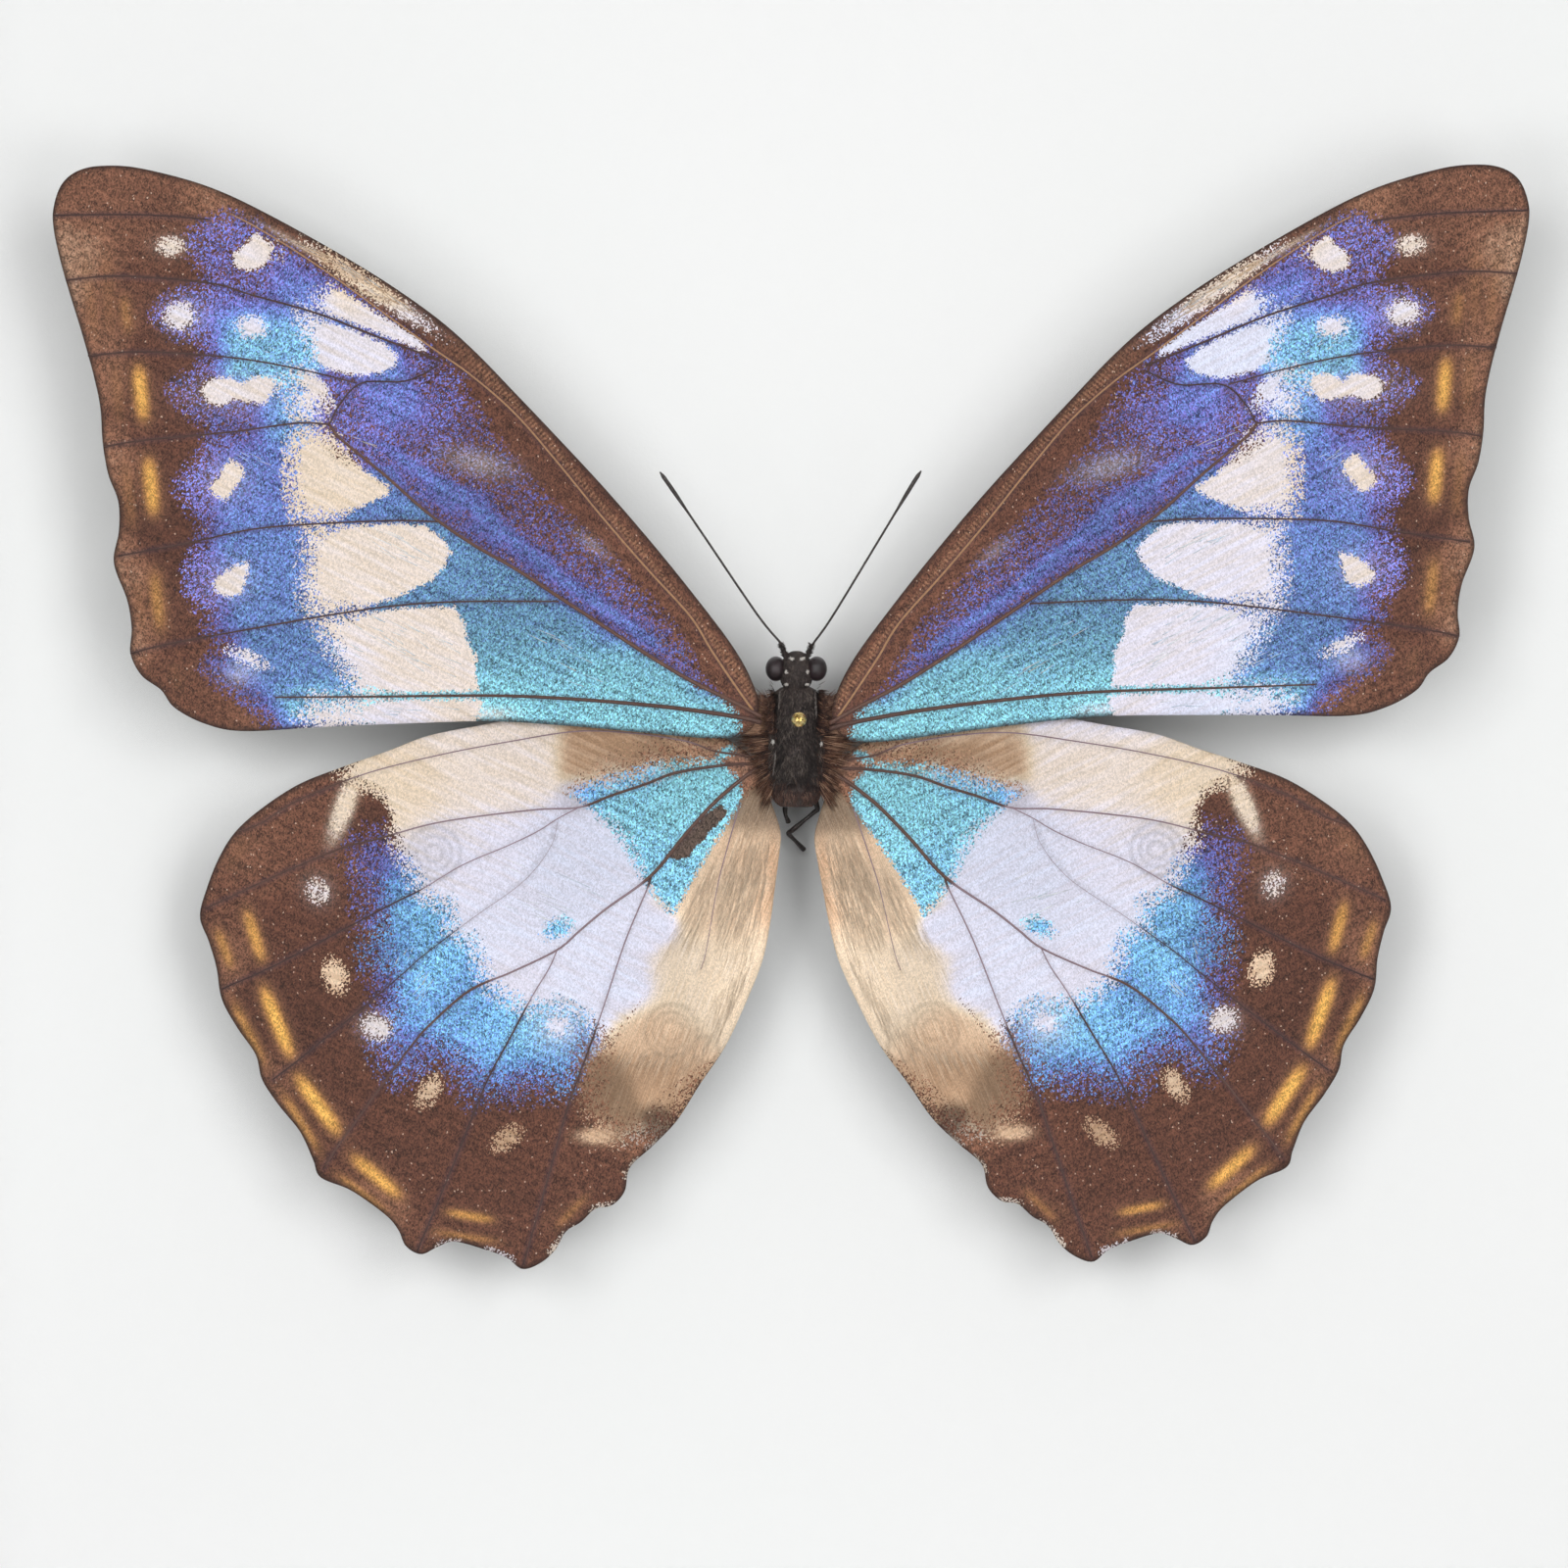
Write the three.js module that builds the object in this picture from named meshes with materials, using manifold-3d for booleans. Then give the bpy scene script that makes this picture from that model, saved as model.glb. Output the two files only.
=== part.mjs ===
// A set butterfly on its pin, in a glazed shadow-box frame that lies on its back.
// Millimetres, +Z up. The origin is on the pin's axis, in the plane of the frame's back.
import * as THREE from 'three';
import { ParametricGeometry } from 'three/addons/geometries/ParametricGeometry.js';
import { mergeVertices } from 'three/addons/utils/BufferGeometryUtils.js';
import Module from 'manifold-3d';

const wasm = await Module();
wasm.setup();

// Frame
const FRAME_SIDE = 210;
const FRAME_DEPTH = 40;
const RAIL_WIDTH = 15;
const RAIL_WALL = 9.7;
const LIP_THICKNESS = 3.7;
const EDGE_ROUND = 1.6;
const FIT = 0.3;

// What the frame holds, from the back to the front
const BACK_RECESS = 2;
const BACK_THICKNESS = 3;
const BOARD_TOP = 14;
const GLASS_THICKNESS = 2;
const SPACER_THICKNESS = 4;
const TAB = { length: 12, width: 6, thickness: 0.5, reach: 50 };
const HANGER = { width: 44, height: 9, thickness: 1, drop: 20, toothedWidth: 26, teeth: 9, toothDepth: 1.6 };
const NAIL_HOLE = { radius: 1.3, reach: 18.5 };

// Pin
const PIN_RADIUS = 0.25;
const PIN_HEAD_RADIUS = 0.69;
const PIN_TOP = 31.2;
const PIN_POINT = 7;
const PIN_TAPER = 1.6;
const PIN_SIDES = 10;
const PIN_HEAD_STEPS = 7;

// Heights of the specimen
const WING_THICKNESS = 0.25;
const FOREWING_HEIGHT = 23.4;
const FOREWING_RISE = 2;
const HINDWING_HEIGHT = 22.4;
const HINDWING_RISE = 1;
const HINDWING_DROOP = 2.2;
const DROOP_WIDTH = 4;
const WING_SPAN = 68;
const WING_RINGS = 4;

// Body
const BODY_X = -0.22;
const BODY_HEIGHT = 21.6;
const POLE_GAP = 1e-9;
const THORAX = {
  front: 3.15, back: -8, halfWidth: 2.9, halfHeight: 3.3, blunt: 0.18, steps: 16, sides: 18,
};
const HEAD = {
  front: 6.4, back: 2.4, halfWidth: 1.6, halfHeight: 1.5, blunt: 0.4, steps: 10, sides: 14, lift: 0.8,
};
const EYE = { out: 2, y: 4.75, x: 0.85, halfLength: 1.15, halfHeight: 1.3 };
const EYE_SIDES = 12;
const EYE_RINGS = 8;
const ROD_SIDES = 6;
const PALP_RADIUS = 0.3;
const PALP_STEPS = 4;
const ANTENNA_RADIUS = 0.11;
const ANTENNA_STEPS = 16;
const CLUB_RADIUS = 0.2;
const CLUB_START = 0.8;
const LEG_RADIUS = 0.22;
const LEG_STEPS = 16;

// Wing outlines as [distance out from the pin, distance ahead of it] for the left side. Each runs from
// the root along the leading edge to the tip, and back along the outer and the inner margin. The hub is
// a point inside, from which the whole outline can be seen.
const FOREWING = {
  hub: [42, 20],
  steps: 72,
  outline: [
    [3.7, 0.7], [4.1, 3.1], [6, 6.7], [10, 12], [14, 16.9], [18, 21.5], [22, 25.8], [26, 30], [30, 34.1],
    [34, 37.5], [40, 41.5], [48, 46], [54, 48.8], [60, 50.4], [63.5, 50.65], [65.8, 50.2],
    [67.3, 49], [68.05, 47], [68.1, 45], [67.5, 42], [66.6, 38.8], [65.5, 35.2], [64.5, 31.5], [63.9, 28.5],
    [63.7, 25.5], [63.2, 22.5], [62.3, 20], [62.25, 17.3], [62.7, 14.4], [61.5, 11], [61.1, 8.4],
    [61.2, 6.1], [60.2, 4.1], [58.4, 2.75], [57.2, 1.15], [54.5, -0.3], [51, -1], [44, -0.65],
    [36, -0.3], [28, -0.1], [20, -0.6], [14, -1.15], [8, -1.65], [4.9, -1.2],
  ],
};
const HINDWING = {
  hub: [26, -20],
  steps: 90,
  outline: [
    [3.7, -4.2], [5.5, -2.4], [9, -0.6], [14, 0.6], [20, 0.9], [25, 0.4], [29, -0.4], [34, -1.4], [38, -2.9],
    [42, -4.3], [46, -5.9], [49.5, -8.2], [51.8, -10.3], [53.2, -12.5], [54.3, -15.2], [55, -18],
    [54.2, -20.3], [53.5, -22.7], [53, -25.6], [51.6, -28.2], [49.9, -30.7], [49.3, -33],
    [47.8, -35.3], [45.8, -37.8], [44.6, -40.4], [43.9, -42], [41.1, -43.2], [38, -45.4], [36.8, -46.8],
    [36.1, -48.3], [34.7, -49.05], [33.2, -48.4], [31.6, -47.9], [28.6, -48.7], [26.8, -49.4],
    [25.4, -50.4], [23.8, -49.9], [22.4, -48.7], [21.4, -47], [20, -46.1], [18.7, -44.9], [17.2, -44.6],
    [16, -43.3], [15.5, -41.1], [13.4, -39.1], [11.2, -36.8], [9.1, -33.5], [6.7, -29.9], [4.7, -25.6],
    [3.3, -22], [2.6, -18.5], [2.2, -15.5], [1.85, -12.8], [1.65, -10.5], [2.1, -8.7], [2.9, -6.6],
  ],
};

// How the right-hand wings are set differently from the mirrored left-hand ones
const AS_DRAWN = { squeeze: [1, 1], lean: 0, lift: 0, shift: [0, 0] };
const RIGHT_FOREWING = { squeeze: [1, 0.965], lean: -0.018, lift: 0.041, shift: [-0.59, -0.72] };
const RIGHT_HINDWING = { squeeze: [0.985, 0.986], lean: -0.055, lift: 0.021, shift: [-0.75, -0.57] };

// Paths of the thin parts, from the body outwards
const ANTENNA_LEFT = [
  [-1.75, 7.2, 23.5], [-3.8, 9.7, 23.9], [-8.5, 16.6, 24.9], [-11.5, 21, 25.5], [-12.7, 22.7, 25.7],
];
const ANTENNA_RIGHT = [
  [1.45, 7.2, 23.5], [3.2, 9.7, 23.9], [7.4, 16.6, 24.9], [10.3, 21.4, 25.5], [11.2, 22.8, 25.7],
];
const LEG_BENT = [
  [1, -4.5, 17.8], [1.66, -7.7, 17.8], [1.75, -8.2, 17.8], [1.4, -8.5, 17.7],
  [-0.6, -10.15, 17.2], [-0.95, -10.4, 17.1], [-0.72, -10.7, 16.8], [0.5, -11.95, 15.4],
];
const LEG_STUB = [[-1, -4.5, 17.8], [-1.25, -8.2, 17.8], [-0.95, -9.4, 17]];
const PALP_LEFT = [[-1.1, 5.7, 22.6], [-1.45, 6.5, 22.9], [-1.65, 7.05, 23.1]];
const PALP_RIGHT = [[0.7, 5.7, 22.6], [1.05, 6.5, 22.9], [1.2, 7, 23.1]];

function finish(color, roughness, metalness = 0) {
  return new THREE.MeshStandardMaterial({ color, roughness, metalness });
}
const PAINTED_WOOD = finish(0x1d1b1a, 0.45);
const WHITE_CARD = finish(0xf3f2ef, 0.9);
const BACK_FIBREBOARD = finish(0x8a6a48, 0.85);
const STEEL = finish(0x9a9b9c, 0.4, 1);
const BRASS = finish(0xd8b45a, 0.3, 1);
const FOREWING_SCALES = finish(0x5a6fb0, 0.6);
const HINDWING_SCALES = finish(0x9fb4d0, 0.6);
const BODY_HAIR = finish(0x2e2725, 0.9);
const CHITIN = finish(0x1c1817, 0.4);
const GLASS = new THREE.MeshStandardMaterial({
  color: 0xf4f8f7, roughness: 0.05, metalness: 0, transparent: true, opacity: 0.15,
});

const model = new THREE.Group();

function place(name, geometry, material) {
  const mesh = new THREE.Mesh(geometry, material);
  mesh.name = name;
  model.add(mesh);
}

// Six times the volume that the triangles enclose, positive when they face outwards
function signedVolume(positions, triangles) {
  const a = new THREE.Vector3();
  const b = new THREE.Vector3();
  const c = new THREE.Vector3();
  let sum = 0;
  for (let i = 0; i < triangles.length; i += 3) {
    a.fromArray(positions, triangles[i] * 3);
    b.fromArray(positions, triangles[i + 1] * 3);
    c.fromArray(positions, triangles[i + 2] * 3);
    sum += a.dot(b.cross(c));
  }
  return sum;
}

// Joins the seams and poles of a surface that closes on itself, and turns its faces outwards
function closedBody(surface) {
  surface.deleteAttribute('normal');
  surface.deleteAttribute('uv');
  const merged = mergeVertices(surface, 1e-4);
  const triangles = [];
  for (let i = 0; i < merged.index.count; i += 3) {
    const [a, b, c] = [0, 1, 2].map((k) => merged.index.getX(i + k));
    if (a !== b && b !== c && c !== a) triangles.push(a, b, c);
  }
  if (signedVolume(merged.attributes.position.array, triangles) < 0) triangles.reverse();
  merged.setIndex(triangles);
  return merged;
}

function solid(geometry) {
  const body = closedBody(geometry);
  return new wasm.Manifold(new wasm.Mesh({
    numProp: 3,
    vertProperties: new Float32Array(body.attributes.position.array),
    triVerts: new Uint32Array(body.index.array),
  }));
}

function geometryOf(manifold) {
  const { vertProperties, triVerts } = manifold.getMesh();
  const geometry = new THREE.BufferGeometry();
  geometry.setAttribute('position', new THREE.BufferAttribute(vertProperties, 3));
  geometry.setIndex(new THREE.BufferAttribute(triVerts, 1));
  return geometry;
}

function box(width, length, bottom, top, x = 0, y = 0) {
  const geometry = new THREE.BoxGeometry(width, length, top - bottom);
  return geometry.translate(x, y, (bottom + top) / 2);
}

// A rounded lump with its long axis along Y, as an ellipse swept from a blunt front to a blunt back
function lump({ front, back, halfWidth, halfHeight, blunt, steps, sides }, x, z) {
  const surface = (u, v, target) => {
    const swell = Math.pow(Math.max(Math.sin(Math.PI * u) - POLE_GAP, 0), blunt);
    const turn = 2 * Math.PI * v;
    target.set(
      x + halfWidth * swell * Math.cos(turn),
      THREE.MathUtils.lerp(front, back, u),
      z + halfHeight * swell * Math.sin(turn),
    );
  };
  return closedBody(new ParametricGeometry(surface, steps, sides));
}

// A thin rod along a path, with a radius for each place along it and a point at each end
function rod(points, radiusAt, steps) {
  const path = new THREE.CatmullRomCurve3(points.map((p) => new THREE.Vector3(...p)));
  const frames = path.computeFrenetFrames(steps, false);
  const surface = (u, v, target) => {
    const step = Math.round(u * steps);
    const atEnd = step === 0 || step === steps;
    const radius = atEnd ? 0 : radiusAt(u);
    const turn = 2 * Math.PI * v;
    path.getPointAt(u, target);
    target.addScaledVector(frames.normals[step], radius * Math.cos(turn));
    target.addScaledVector(frames.binormals[step], radius * Math.sin(turn));
  };
  return closedBody(new ParametricGeometry(surface, steps, ROD_SIDES));
}

// A thin plate inside a closed outline. It widens from the hub over the top to the rim, and narrows
// underneath to the hub again.
function wing({ hub, outline, steps }, side, set, heightAt) {
  const centre = new THREE.Vector2(...hub);
  const points = outline.map(([x, y]) => new THREE.Vector3(x, y, 0));
  const rim = new THREE.CatmullRomCurve3(points, true, 'catmullrom');
  rim.arcLengthDivisions = 1000;
  const rings = 2 * WING_RINGS + 1;
  const surface = (u, v, target) => {
    const ring = Math.round(v * rings);
    const onTop = ring <= WING_RINGS;
    const reach = (onTop ? ring : rings - ring) / WING_RINGS;
    const onRim = rim.getPointAt(u);
    const drawn = centre.clone().lerp(new THREE.Vector2(onRim.x, onRim.y), reach);
    const out = set.squeeze[0] * drawn.x + set.lean * drawn.y + set.shift[0];
    const ahead = set.squeeze[1] * drawn.y + set.lift * drawn.x + set.shift[1];
    const height = heightAt(drawn) + (onTop ? 1 : -1) * WING_THICKNESS / 2;
    target.set(side * out, ahead, height);
  };
  return closedBody(new ParametricGeometry(surface, steps, rings));
}

const forewingHeight = (p) => FOREWING_HEIGHT + FOREWING_RISE * (p.length() / WING_SPAN) ** 2;
const hindwingHeight = (p) => HINDWING_HEIGHT + HINDWING_RISE * (p.length() / WING_SPAN) ** 2
  - HINDWING_DROOP * Math.exp(-p.x / DROOP_WIDTH);

// One mitred rail along X at the near side, then turned to its own side.
// Its section is drawn with its distance in from the outer face and its height.
function rail(turns) {
  const section = new THREE.Shape();
  section.moveTo(0, 0);
  section.lineTo(RAIL_WALL, 0);
  section.lineTo(RAIL_WALL, FRAME_DEPTH - LIP_THICKNESS);
  section.lineTo(RAIL_WIDTH, FRAME_DEPTH - LIP_THICKNESS);
  section.lineTo(RAIL_WIDTH, FRAME_DEPTH - EDGE_ROUND);
  section.quadraticCurveTo(RAIL_WIDTH, FRAME_DEPTH, RAIL_WIDTH - EDGE_ROUND, FRAME_DEPTH);
  section.lineTo(EDGE_ROUND, FRAME_DEPTH);
  section.quadraticCurveTo(0, FRAME_DEPTH, 0, FRAME_DEPTH - EDGE_ROUND);
  section.closePath();
  const geometry = new THREE.ExtrudeGeometry(section, { depth: 1, bevelEnabled: false, curveSegments: 4 });
  const position = geometry.attributes.position;
  for (let i = 0; i < position.count; i += 1) {
    const inward = position.getX(i);
    const height = position.getY(i);
    const end = 2 * position.getZ(i) - 1;
    position.setXYZ(i, end * (FRAME_SIDE / 2 - inward - FIT / 2), inward - FRAME_SIDE / 2, height);
  }
  return closedBody(geometry).rotateZ(turns * Math.PI / 2);
}

// A saw-tooth hanging plate with a nail hole near each end
function hangerPlate() {
  const { width, height, thickness, toothedWidth, teeth, toothDepth } = HANGER;
  const pitch = toothedWidth / teeth;
  const plate = new THREE.Shape();
  plate.moveTo(-width / 2, height);
  plate.lineTo(-width / 2, 0);
  for (let i = 0; i < teeth; i += 1) {
    const start = -toothedWidth / 2 + i * pitch;
    plate.lineTo(start, 0);
    plate.lineTo(start + pitch / 2, toothDepth);
  }
  plate.lineTo(toothedWidth / 2, 0);
  plate.lineTo(width / 2, 0);
  plate.lineTo(width / 2, height);
  plate.closePath();
  for (const side of [-1, 1]) {
    const nailHole = new THREE.Path();
    nailHole.absarc(side * NAIL_HOLE.reach, height / 2, NAIL_HOLE.radius, 0, 2 * Math.PI, true);
    plate.holes.push(nailHole);
  }
  const extrusion = { depth: thickness, bevelEnabled: false, curveSegments: 5 };
  return closedBody(new THREE.ExtrudeGeometry(plate, extrusion));
}

const glassTop = FRAME_DEPTH - LIP_THICKNESS - FIT;
const glassBottom = glassTop - GLASS_THICKNESS;
const innerSide = FRAME_SIDE - 2 * (RAIL_WALL + FIT);
const backTop = BACK_RECESS + BACK_THICKNESS;
const recessMiddle = BACK_RECESS / 2;

// The four rails, the glass, the spacers under it, and what closes the back
['bottom', 'right', 'top', 'left'].forEach((name, turns) => {
  place(`frame_rail_${name}`, rail(turns), PAINTED_WOOD);
  const isLong = turns % 2 === 0;
  const length = innerSide - (isLong ? 0 : 2 * (SPACER_THICKNESS + FIT));
  const offset = -(innerSide - SPACER_THICKNESS) / 2;
  const strip = box(length, SPACER_THICKNESS, BOARD_TOP + FIT, glassBottom - FIT, 0, offset);
  place(`spacer_${name}`, strip.rotateZ(turns * Math.PI / 2), WHITE_CARD);
});
place('glass_pane', box(innerSide, innerSide, glassBottom, glassTop), GLASS);
place('back_panel', box(innerSide, innerSide, BACK_RECESS, backTop), BACK_FIBREBOARD);

for (const [row, y] of [['top', innerSide / 2], ['bottom', -innerSide / 2]]) {
  for (const [side, x] of [['left', -TAB.reach], ['right', TAB.reach]]) {
    const bottom = recessMiddle + TAB.thickness / 2;
    const middle = y - Math.sign(y) * TAB.length / 2;
    const tab = box(TAB.width, TAB.length, bottom, bottom + TAB.thickness, x, middle);
    place(`back_tab_${row}_${side}`, tab, STEEL);
  }
}
const hangerY = innerSide / 2 - HANGER.drop;
place('hanger_plate', hangerPlate().translate(0, hangerY, recessMiddle - HANGER.thickness / 2), STEEL);

// The pin, and the hole that it makes in the thorax and in the board
const headMiddle = PIN_TOP - PIN_HEAD_RADIUS;
const pinProfile = [
  [0, PIN_POINT],
  [PIN_RADIUS, PIN_POINT + PIN_TAPER],
  [PIN_RADIUS, headMiddle - PIN_HEAD_RADIUS],
];
for (let i = 1; i < PIN_HEAD_STEPS; i += 1) {
  const turn = Math.PI * (i / PIN_HEAD_STEPS - 0.5);
  pinProfile.push([PIN_HEAD_RADIUS * Math.cos(turn), headMiddle + PIN_HEAD_RADIUS * Math.sin(turn)]);
}
pinProfile.push([0, PIN_TOP]);
const pinOutline = pinProfile.map((p) => new THREE.Vector2(...p));
place('pin', closedBody(new THREE.LatheGeometry(pinOutline, PIN_SIDES).rotateX(Math.PI / 2)), BRASS);

const holeRadius = PIN_RADIUS + FIT;
const pinHole = new THREE.CylinderGeometry(holeRadius, holeRadius, PIN_TOP - PIN_POINT, PIN_SIDES);
pinHole.rotateX(Math.PI / 2).translate(0, 0, (PIN_TOP + PIN_POINT) / 2 - FIT);
const pinHoleSolid = solid(pinHole);
const board = solid(box(innerSide, innerSide, backTop + FIT, BOARD_TOP));
place('mounting_board', geometryOf(board.subtract(pinHoleSolid)), WHITE_CARD);

// The specimen
const thorax = solid(lump(THORAX, BODY_X, BODY_HEIGHT));
place('thorax', geometryOf(thorax.subtract(pinHoleSolid)), BODY_HAIR);

const headHeight = BODY_HEIGHT + HEAD.lift;
let head = solid(lump(HEAD, BODY_X, headHeight));
for (const side of [-1, 1]) {
  const eye = new THREE.SphereGeometry(1, EYE_SIDES, EYE_RINGS);
  eye.scale(EYE.x, EYE.halfLength, EYE.halfHeight).translate(BODY_X + side * EYE.out, EYE.y, headHeight);
  head = head.add(solid(eye));
}
for (const palp of [PALP_LEFT, PALP_RIGHT]) {
  head = head.add(solid(rod(palp, () => PALP_RADIUS, PALP_STEPS)));
}
place('head', geometryOf(head.subtract(thorax)), CHITIN);

const antennaRadius = (u) => (u < CLUB_START ? ANTENNA_RADIUS : CLUB_RADIUS);
place('antenna_left', rod(ANTENNA_LEFT, antennaRadius, ANTENNA_STEPS), CHITIN);
place('antenna_right', rod(ANTENNA_RIGHT, antennaRadius, ANTENNA_STEPS), CHITIN);
place('hind_leg_bent', rod(LEG_BENT, () => LEG_RADIUS, LEG_STEPS), CHITIN);
place('hind_leg_stub', rod(LEG_STUB, () => LEG_RADIUS, LEG_STEPS), CHITIN);

place('forewing_left', wing(FOREWING, -1, AS_DRAWN, forewingHeight), FOREWING_SCALES);
place('forewing_right', wing(FOREWING, 1, RIGHT_FOREWING, forewingHeight), FOREWING_SCALES);
place('hindwing_left', wing(HINDWING, -1, AS_DRAWN, hindwingHeight), HINDWING_SCALES);
place('hindwing_right', wing(HINDWING, 1, RIGHT_HINDWING, hindwingHeight), HINDWING_SCALES);

export default model;
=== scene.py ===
# %% [markdown]
# # A set butterfly behind glass
# This lesson dresses one object: a large blue butterfly, spread and pinned over a white board, in a
# plain box frame that lies on its back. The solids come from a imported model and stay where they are.
# What Blender adds is what the eye sees first: scales, veins, hair and glass.

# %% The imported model
import bpy
import numpy as np
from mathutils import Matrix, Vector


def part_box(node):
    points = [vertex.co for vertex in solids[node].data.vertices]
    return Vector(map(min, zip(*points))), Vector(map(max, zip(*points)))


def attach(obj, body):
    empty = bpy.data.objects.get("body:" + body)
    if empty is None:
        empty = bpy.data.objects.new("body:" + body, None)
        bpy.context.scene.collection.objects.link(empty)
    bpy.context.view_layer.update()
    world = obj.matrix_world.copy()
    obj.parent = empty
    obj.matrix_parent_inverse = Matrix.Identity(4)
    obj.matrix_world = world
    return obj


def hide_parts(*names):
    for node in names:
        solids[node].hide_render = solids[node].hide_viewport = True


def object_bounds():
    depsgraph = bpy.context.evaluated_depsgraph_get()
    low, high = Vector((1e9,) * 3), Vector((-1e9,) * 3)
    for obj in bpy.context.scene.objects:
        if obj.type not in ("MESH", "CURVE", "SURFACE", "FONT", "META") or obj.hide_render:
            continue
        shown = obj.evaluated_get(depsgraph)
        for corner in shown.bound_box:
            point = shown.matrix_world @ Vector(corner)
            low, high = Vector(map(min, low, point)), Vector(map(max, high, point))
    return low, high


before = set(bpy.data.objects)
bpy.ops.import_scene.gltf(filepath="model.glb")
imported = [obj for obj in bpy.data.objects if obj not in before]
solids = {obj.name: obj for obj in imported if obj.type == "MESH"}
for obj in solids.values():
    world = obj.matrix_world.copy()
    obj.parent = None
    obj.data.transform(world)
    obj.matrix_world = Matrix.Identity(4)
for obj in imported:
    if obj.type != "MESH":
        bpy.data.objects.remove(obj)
cad_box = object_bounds()
MM = 0.001
chance = np.random.default_rng(7)
print("solids:", len(solids), "box in mm:", [round(x / MM, 1) for corner in cad_box for x in corner])

# %% [markdown]
# ## Camera
# The photograph looks straight down on the board and its edge shows a field 144 mm wide. A long lens
# from far away keeps the outline free of perspective. At zero rotation a Blender camera already looks
# down with +Y up in the picture, so only its place and its lens have to be set.

# %% Camera
FIELD = 144.0
VIEW_CENTRE = (-1.35, -5.85)
WING_PLANE = 24.0
VIEW_DISTANCE = 600.0

camera_data = bpy.data.cameras.new("camera")
camera_data.sensor_width = 36.0
camera_data.lens = camera_data.sensor_width * VIEW_DISTANCE / FIELD
camera = bpy.data.objects.new("camera", camera_data)
camera.location = (VIEW_CENTRE[0] * MM, VIEW_CENTRE[1] * MM, (WING_PLANE + VIEW_DISTANCE) * MM)
bpy.context.scene.collection.objects.link(camera)
bpy.context.scene.camera = camera
bpy.context.scene.view_settings.view_transform = "Standard"
print("lens:", camera_data.lens, "mm")

# %% [markdown]
# ## Light
# The wings stand nearly a centimetre above the board, so the light decides how soft their shadows are.
# Square lamps on every side, about 62 degrees high, reach the board over the rails and leave only a
# pale shadow round the wings. They are far enough from straight overhead that the glass doesn't mirror
# them into the camera, and the sky is darkest overhead for the same reason. One more lamp, nearly
# overhead, lightens the shadows, and mirrors are told not to show it. After one bounce off a dull surface
# little light is left, so no more are followed.

# %% Lamps and sky
LAMP_HEIGHT = np.radians(62)
LAMP_DISTANCE = 1.1
LAMP_SIZE = 0.44
LAMP_POWER = {30: 3.05, 150: 2.95, 210: 2.15, 330: 2.25}
TOP_POWER = 1.8
TOP_AHEAD = 0.2
SKY_LIGHT = {0.0: 0.62, 0.97: 0.05}


def lamp(name, power, place, turn):
    """A square lamp of LAMP_SIZE metres at a place, turned so that it looks at the middle of the frame."""
    data = bpy.data.lights.new(name, "AREA")
    data.energy = power
    data.size = LAMP_SIZE
    made = bpy.data.objects.new(name, data)
    made.location = place
    made.rotation_euler = turn
    bpy.context.scene.collection.objects.link(made)
    return made


for degrees, power in LAMP_POWER.items():
    angle = np.radians(degrees)
    across = np.cos(LAMP_HEIGHT)
    way = np.array([across * np.cos(angle), across * np.sin(angle), np.sin(LAMP_HEIGHT)])
    lamp(f"lamp_{degrees}", power, LAMP_DISTANCE * way, (np.pi / 2 - LAMP_HEIGHT, 0, angle + np.pi / 2))
top_turn = (-np.arctan2(TOP_AHEAD, LAMP_DISTANCE), 0, 0)
top = lamp("lamp_top", TOP_POWER, (0, TOP_AHEAD, LAMP_DISTANCE), top_turn)
top.visible_glossy = top.visible_transmission = False

bpy.context.scene.cycles.diffuse_bounces = 1
bpy.context.scene.cycles.max_bounces = 6
world = bpy.data.worlds.new("studio")
bpy.context.scene.world = world
world.use_nodes = True
sky = world.node_tree
direction = sky.nodes.new("ShaderNodeTexCoord")
height = sky.nodes.new("ShaderNodeSeparateXYZ")
shade = sky.nodes.new("ShaderNodeValToRGB")
for element, (position, grey) in zip(shade.color_ramp.elements, SKY_LIGHT.items()):
    element.position = position
    element.color = (grey, grey, grey, 1)
sky.links.new(direction.outputs["Generated"], height.inputs["Vector"])
sky.links.new(height.outputs["Z"], shade.inputs["Fac"])
sky.links.new(shade.outputs["Color"], sky.nodes["Background"].inputs["Color"])
print("lamps:", len(LAMP_POWER) + 1)

# %% [markdown]
# ## Small tools for finishes
# A finish is a graph of nodes. Short helpers keep the graphs readable: one adds a node and fills its
# sockets with numbers or links, and the others use it for arithmetic, for mixing two colours and for a
# ramp of colours. Colours are written as they look in a picture, from 0 to 255, and turned into linear
# light for the shader.

# %% Node helpers
def linear(red, green, blue):
    """A picture colour as linear light: c / 12.92 below 0.04045, else ((c + 0.055) / 1.055) ^ 2.4."""
    c = np.array([red, green, blue]) / 255
    return (*np.where(c <= 0.04045, c / 12.92, ((c + 0.055) / 1.055) ** 2.4).tolist(), 1.0)


def node(tree, kind, inputs=None, **settings):
    """A new node with its settings. An input that is a socket is linked, any other is set as a constant."""
    made = tree.nodes.new(kind)
    for key, value in settings.items():
        setattr(made, key, value)
    for key, value in (inputs or {}).items():
        if isinstance(value, bpy.types.NodeSocket):
            tree.links.new(value, made.inputs[key])
        else:
            made.inputs[key].default_value = value
    return made


def calc(tree, operation, a, b=0.0, c=0.0, clamp=False):
    """Arithmetic on two or three values, such as a b + c. With clamp the result is kept in 0 to 1."""
    made = node(tree, "ShaderNodeMath", {0: a, 1: b, 2: c}, operation=operation, use_clamp=clamp)
    return made.outputs[0]


def times(tree, a, b, clamp=False):
    """The product of a and b."""
    return calc(tree, "MULTIPLY", a, b, clamp=clamp)


def scaled(tree, value, factor, offset, clamp=False):
    """The product of value and factor, plus offset."""
    return calc(tree, "MULTIPLY_ADD", value, factor, offset, clamp)


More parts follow.
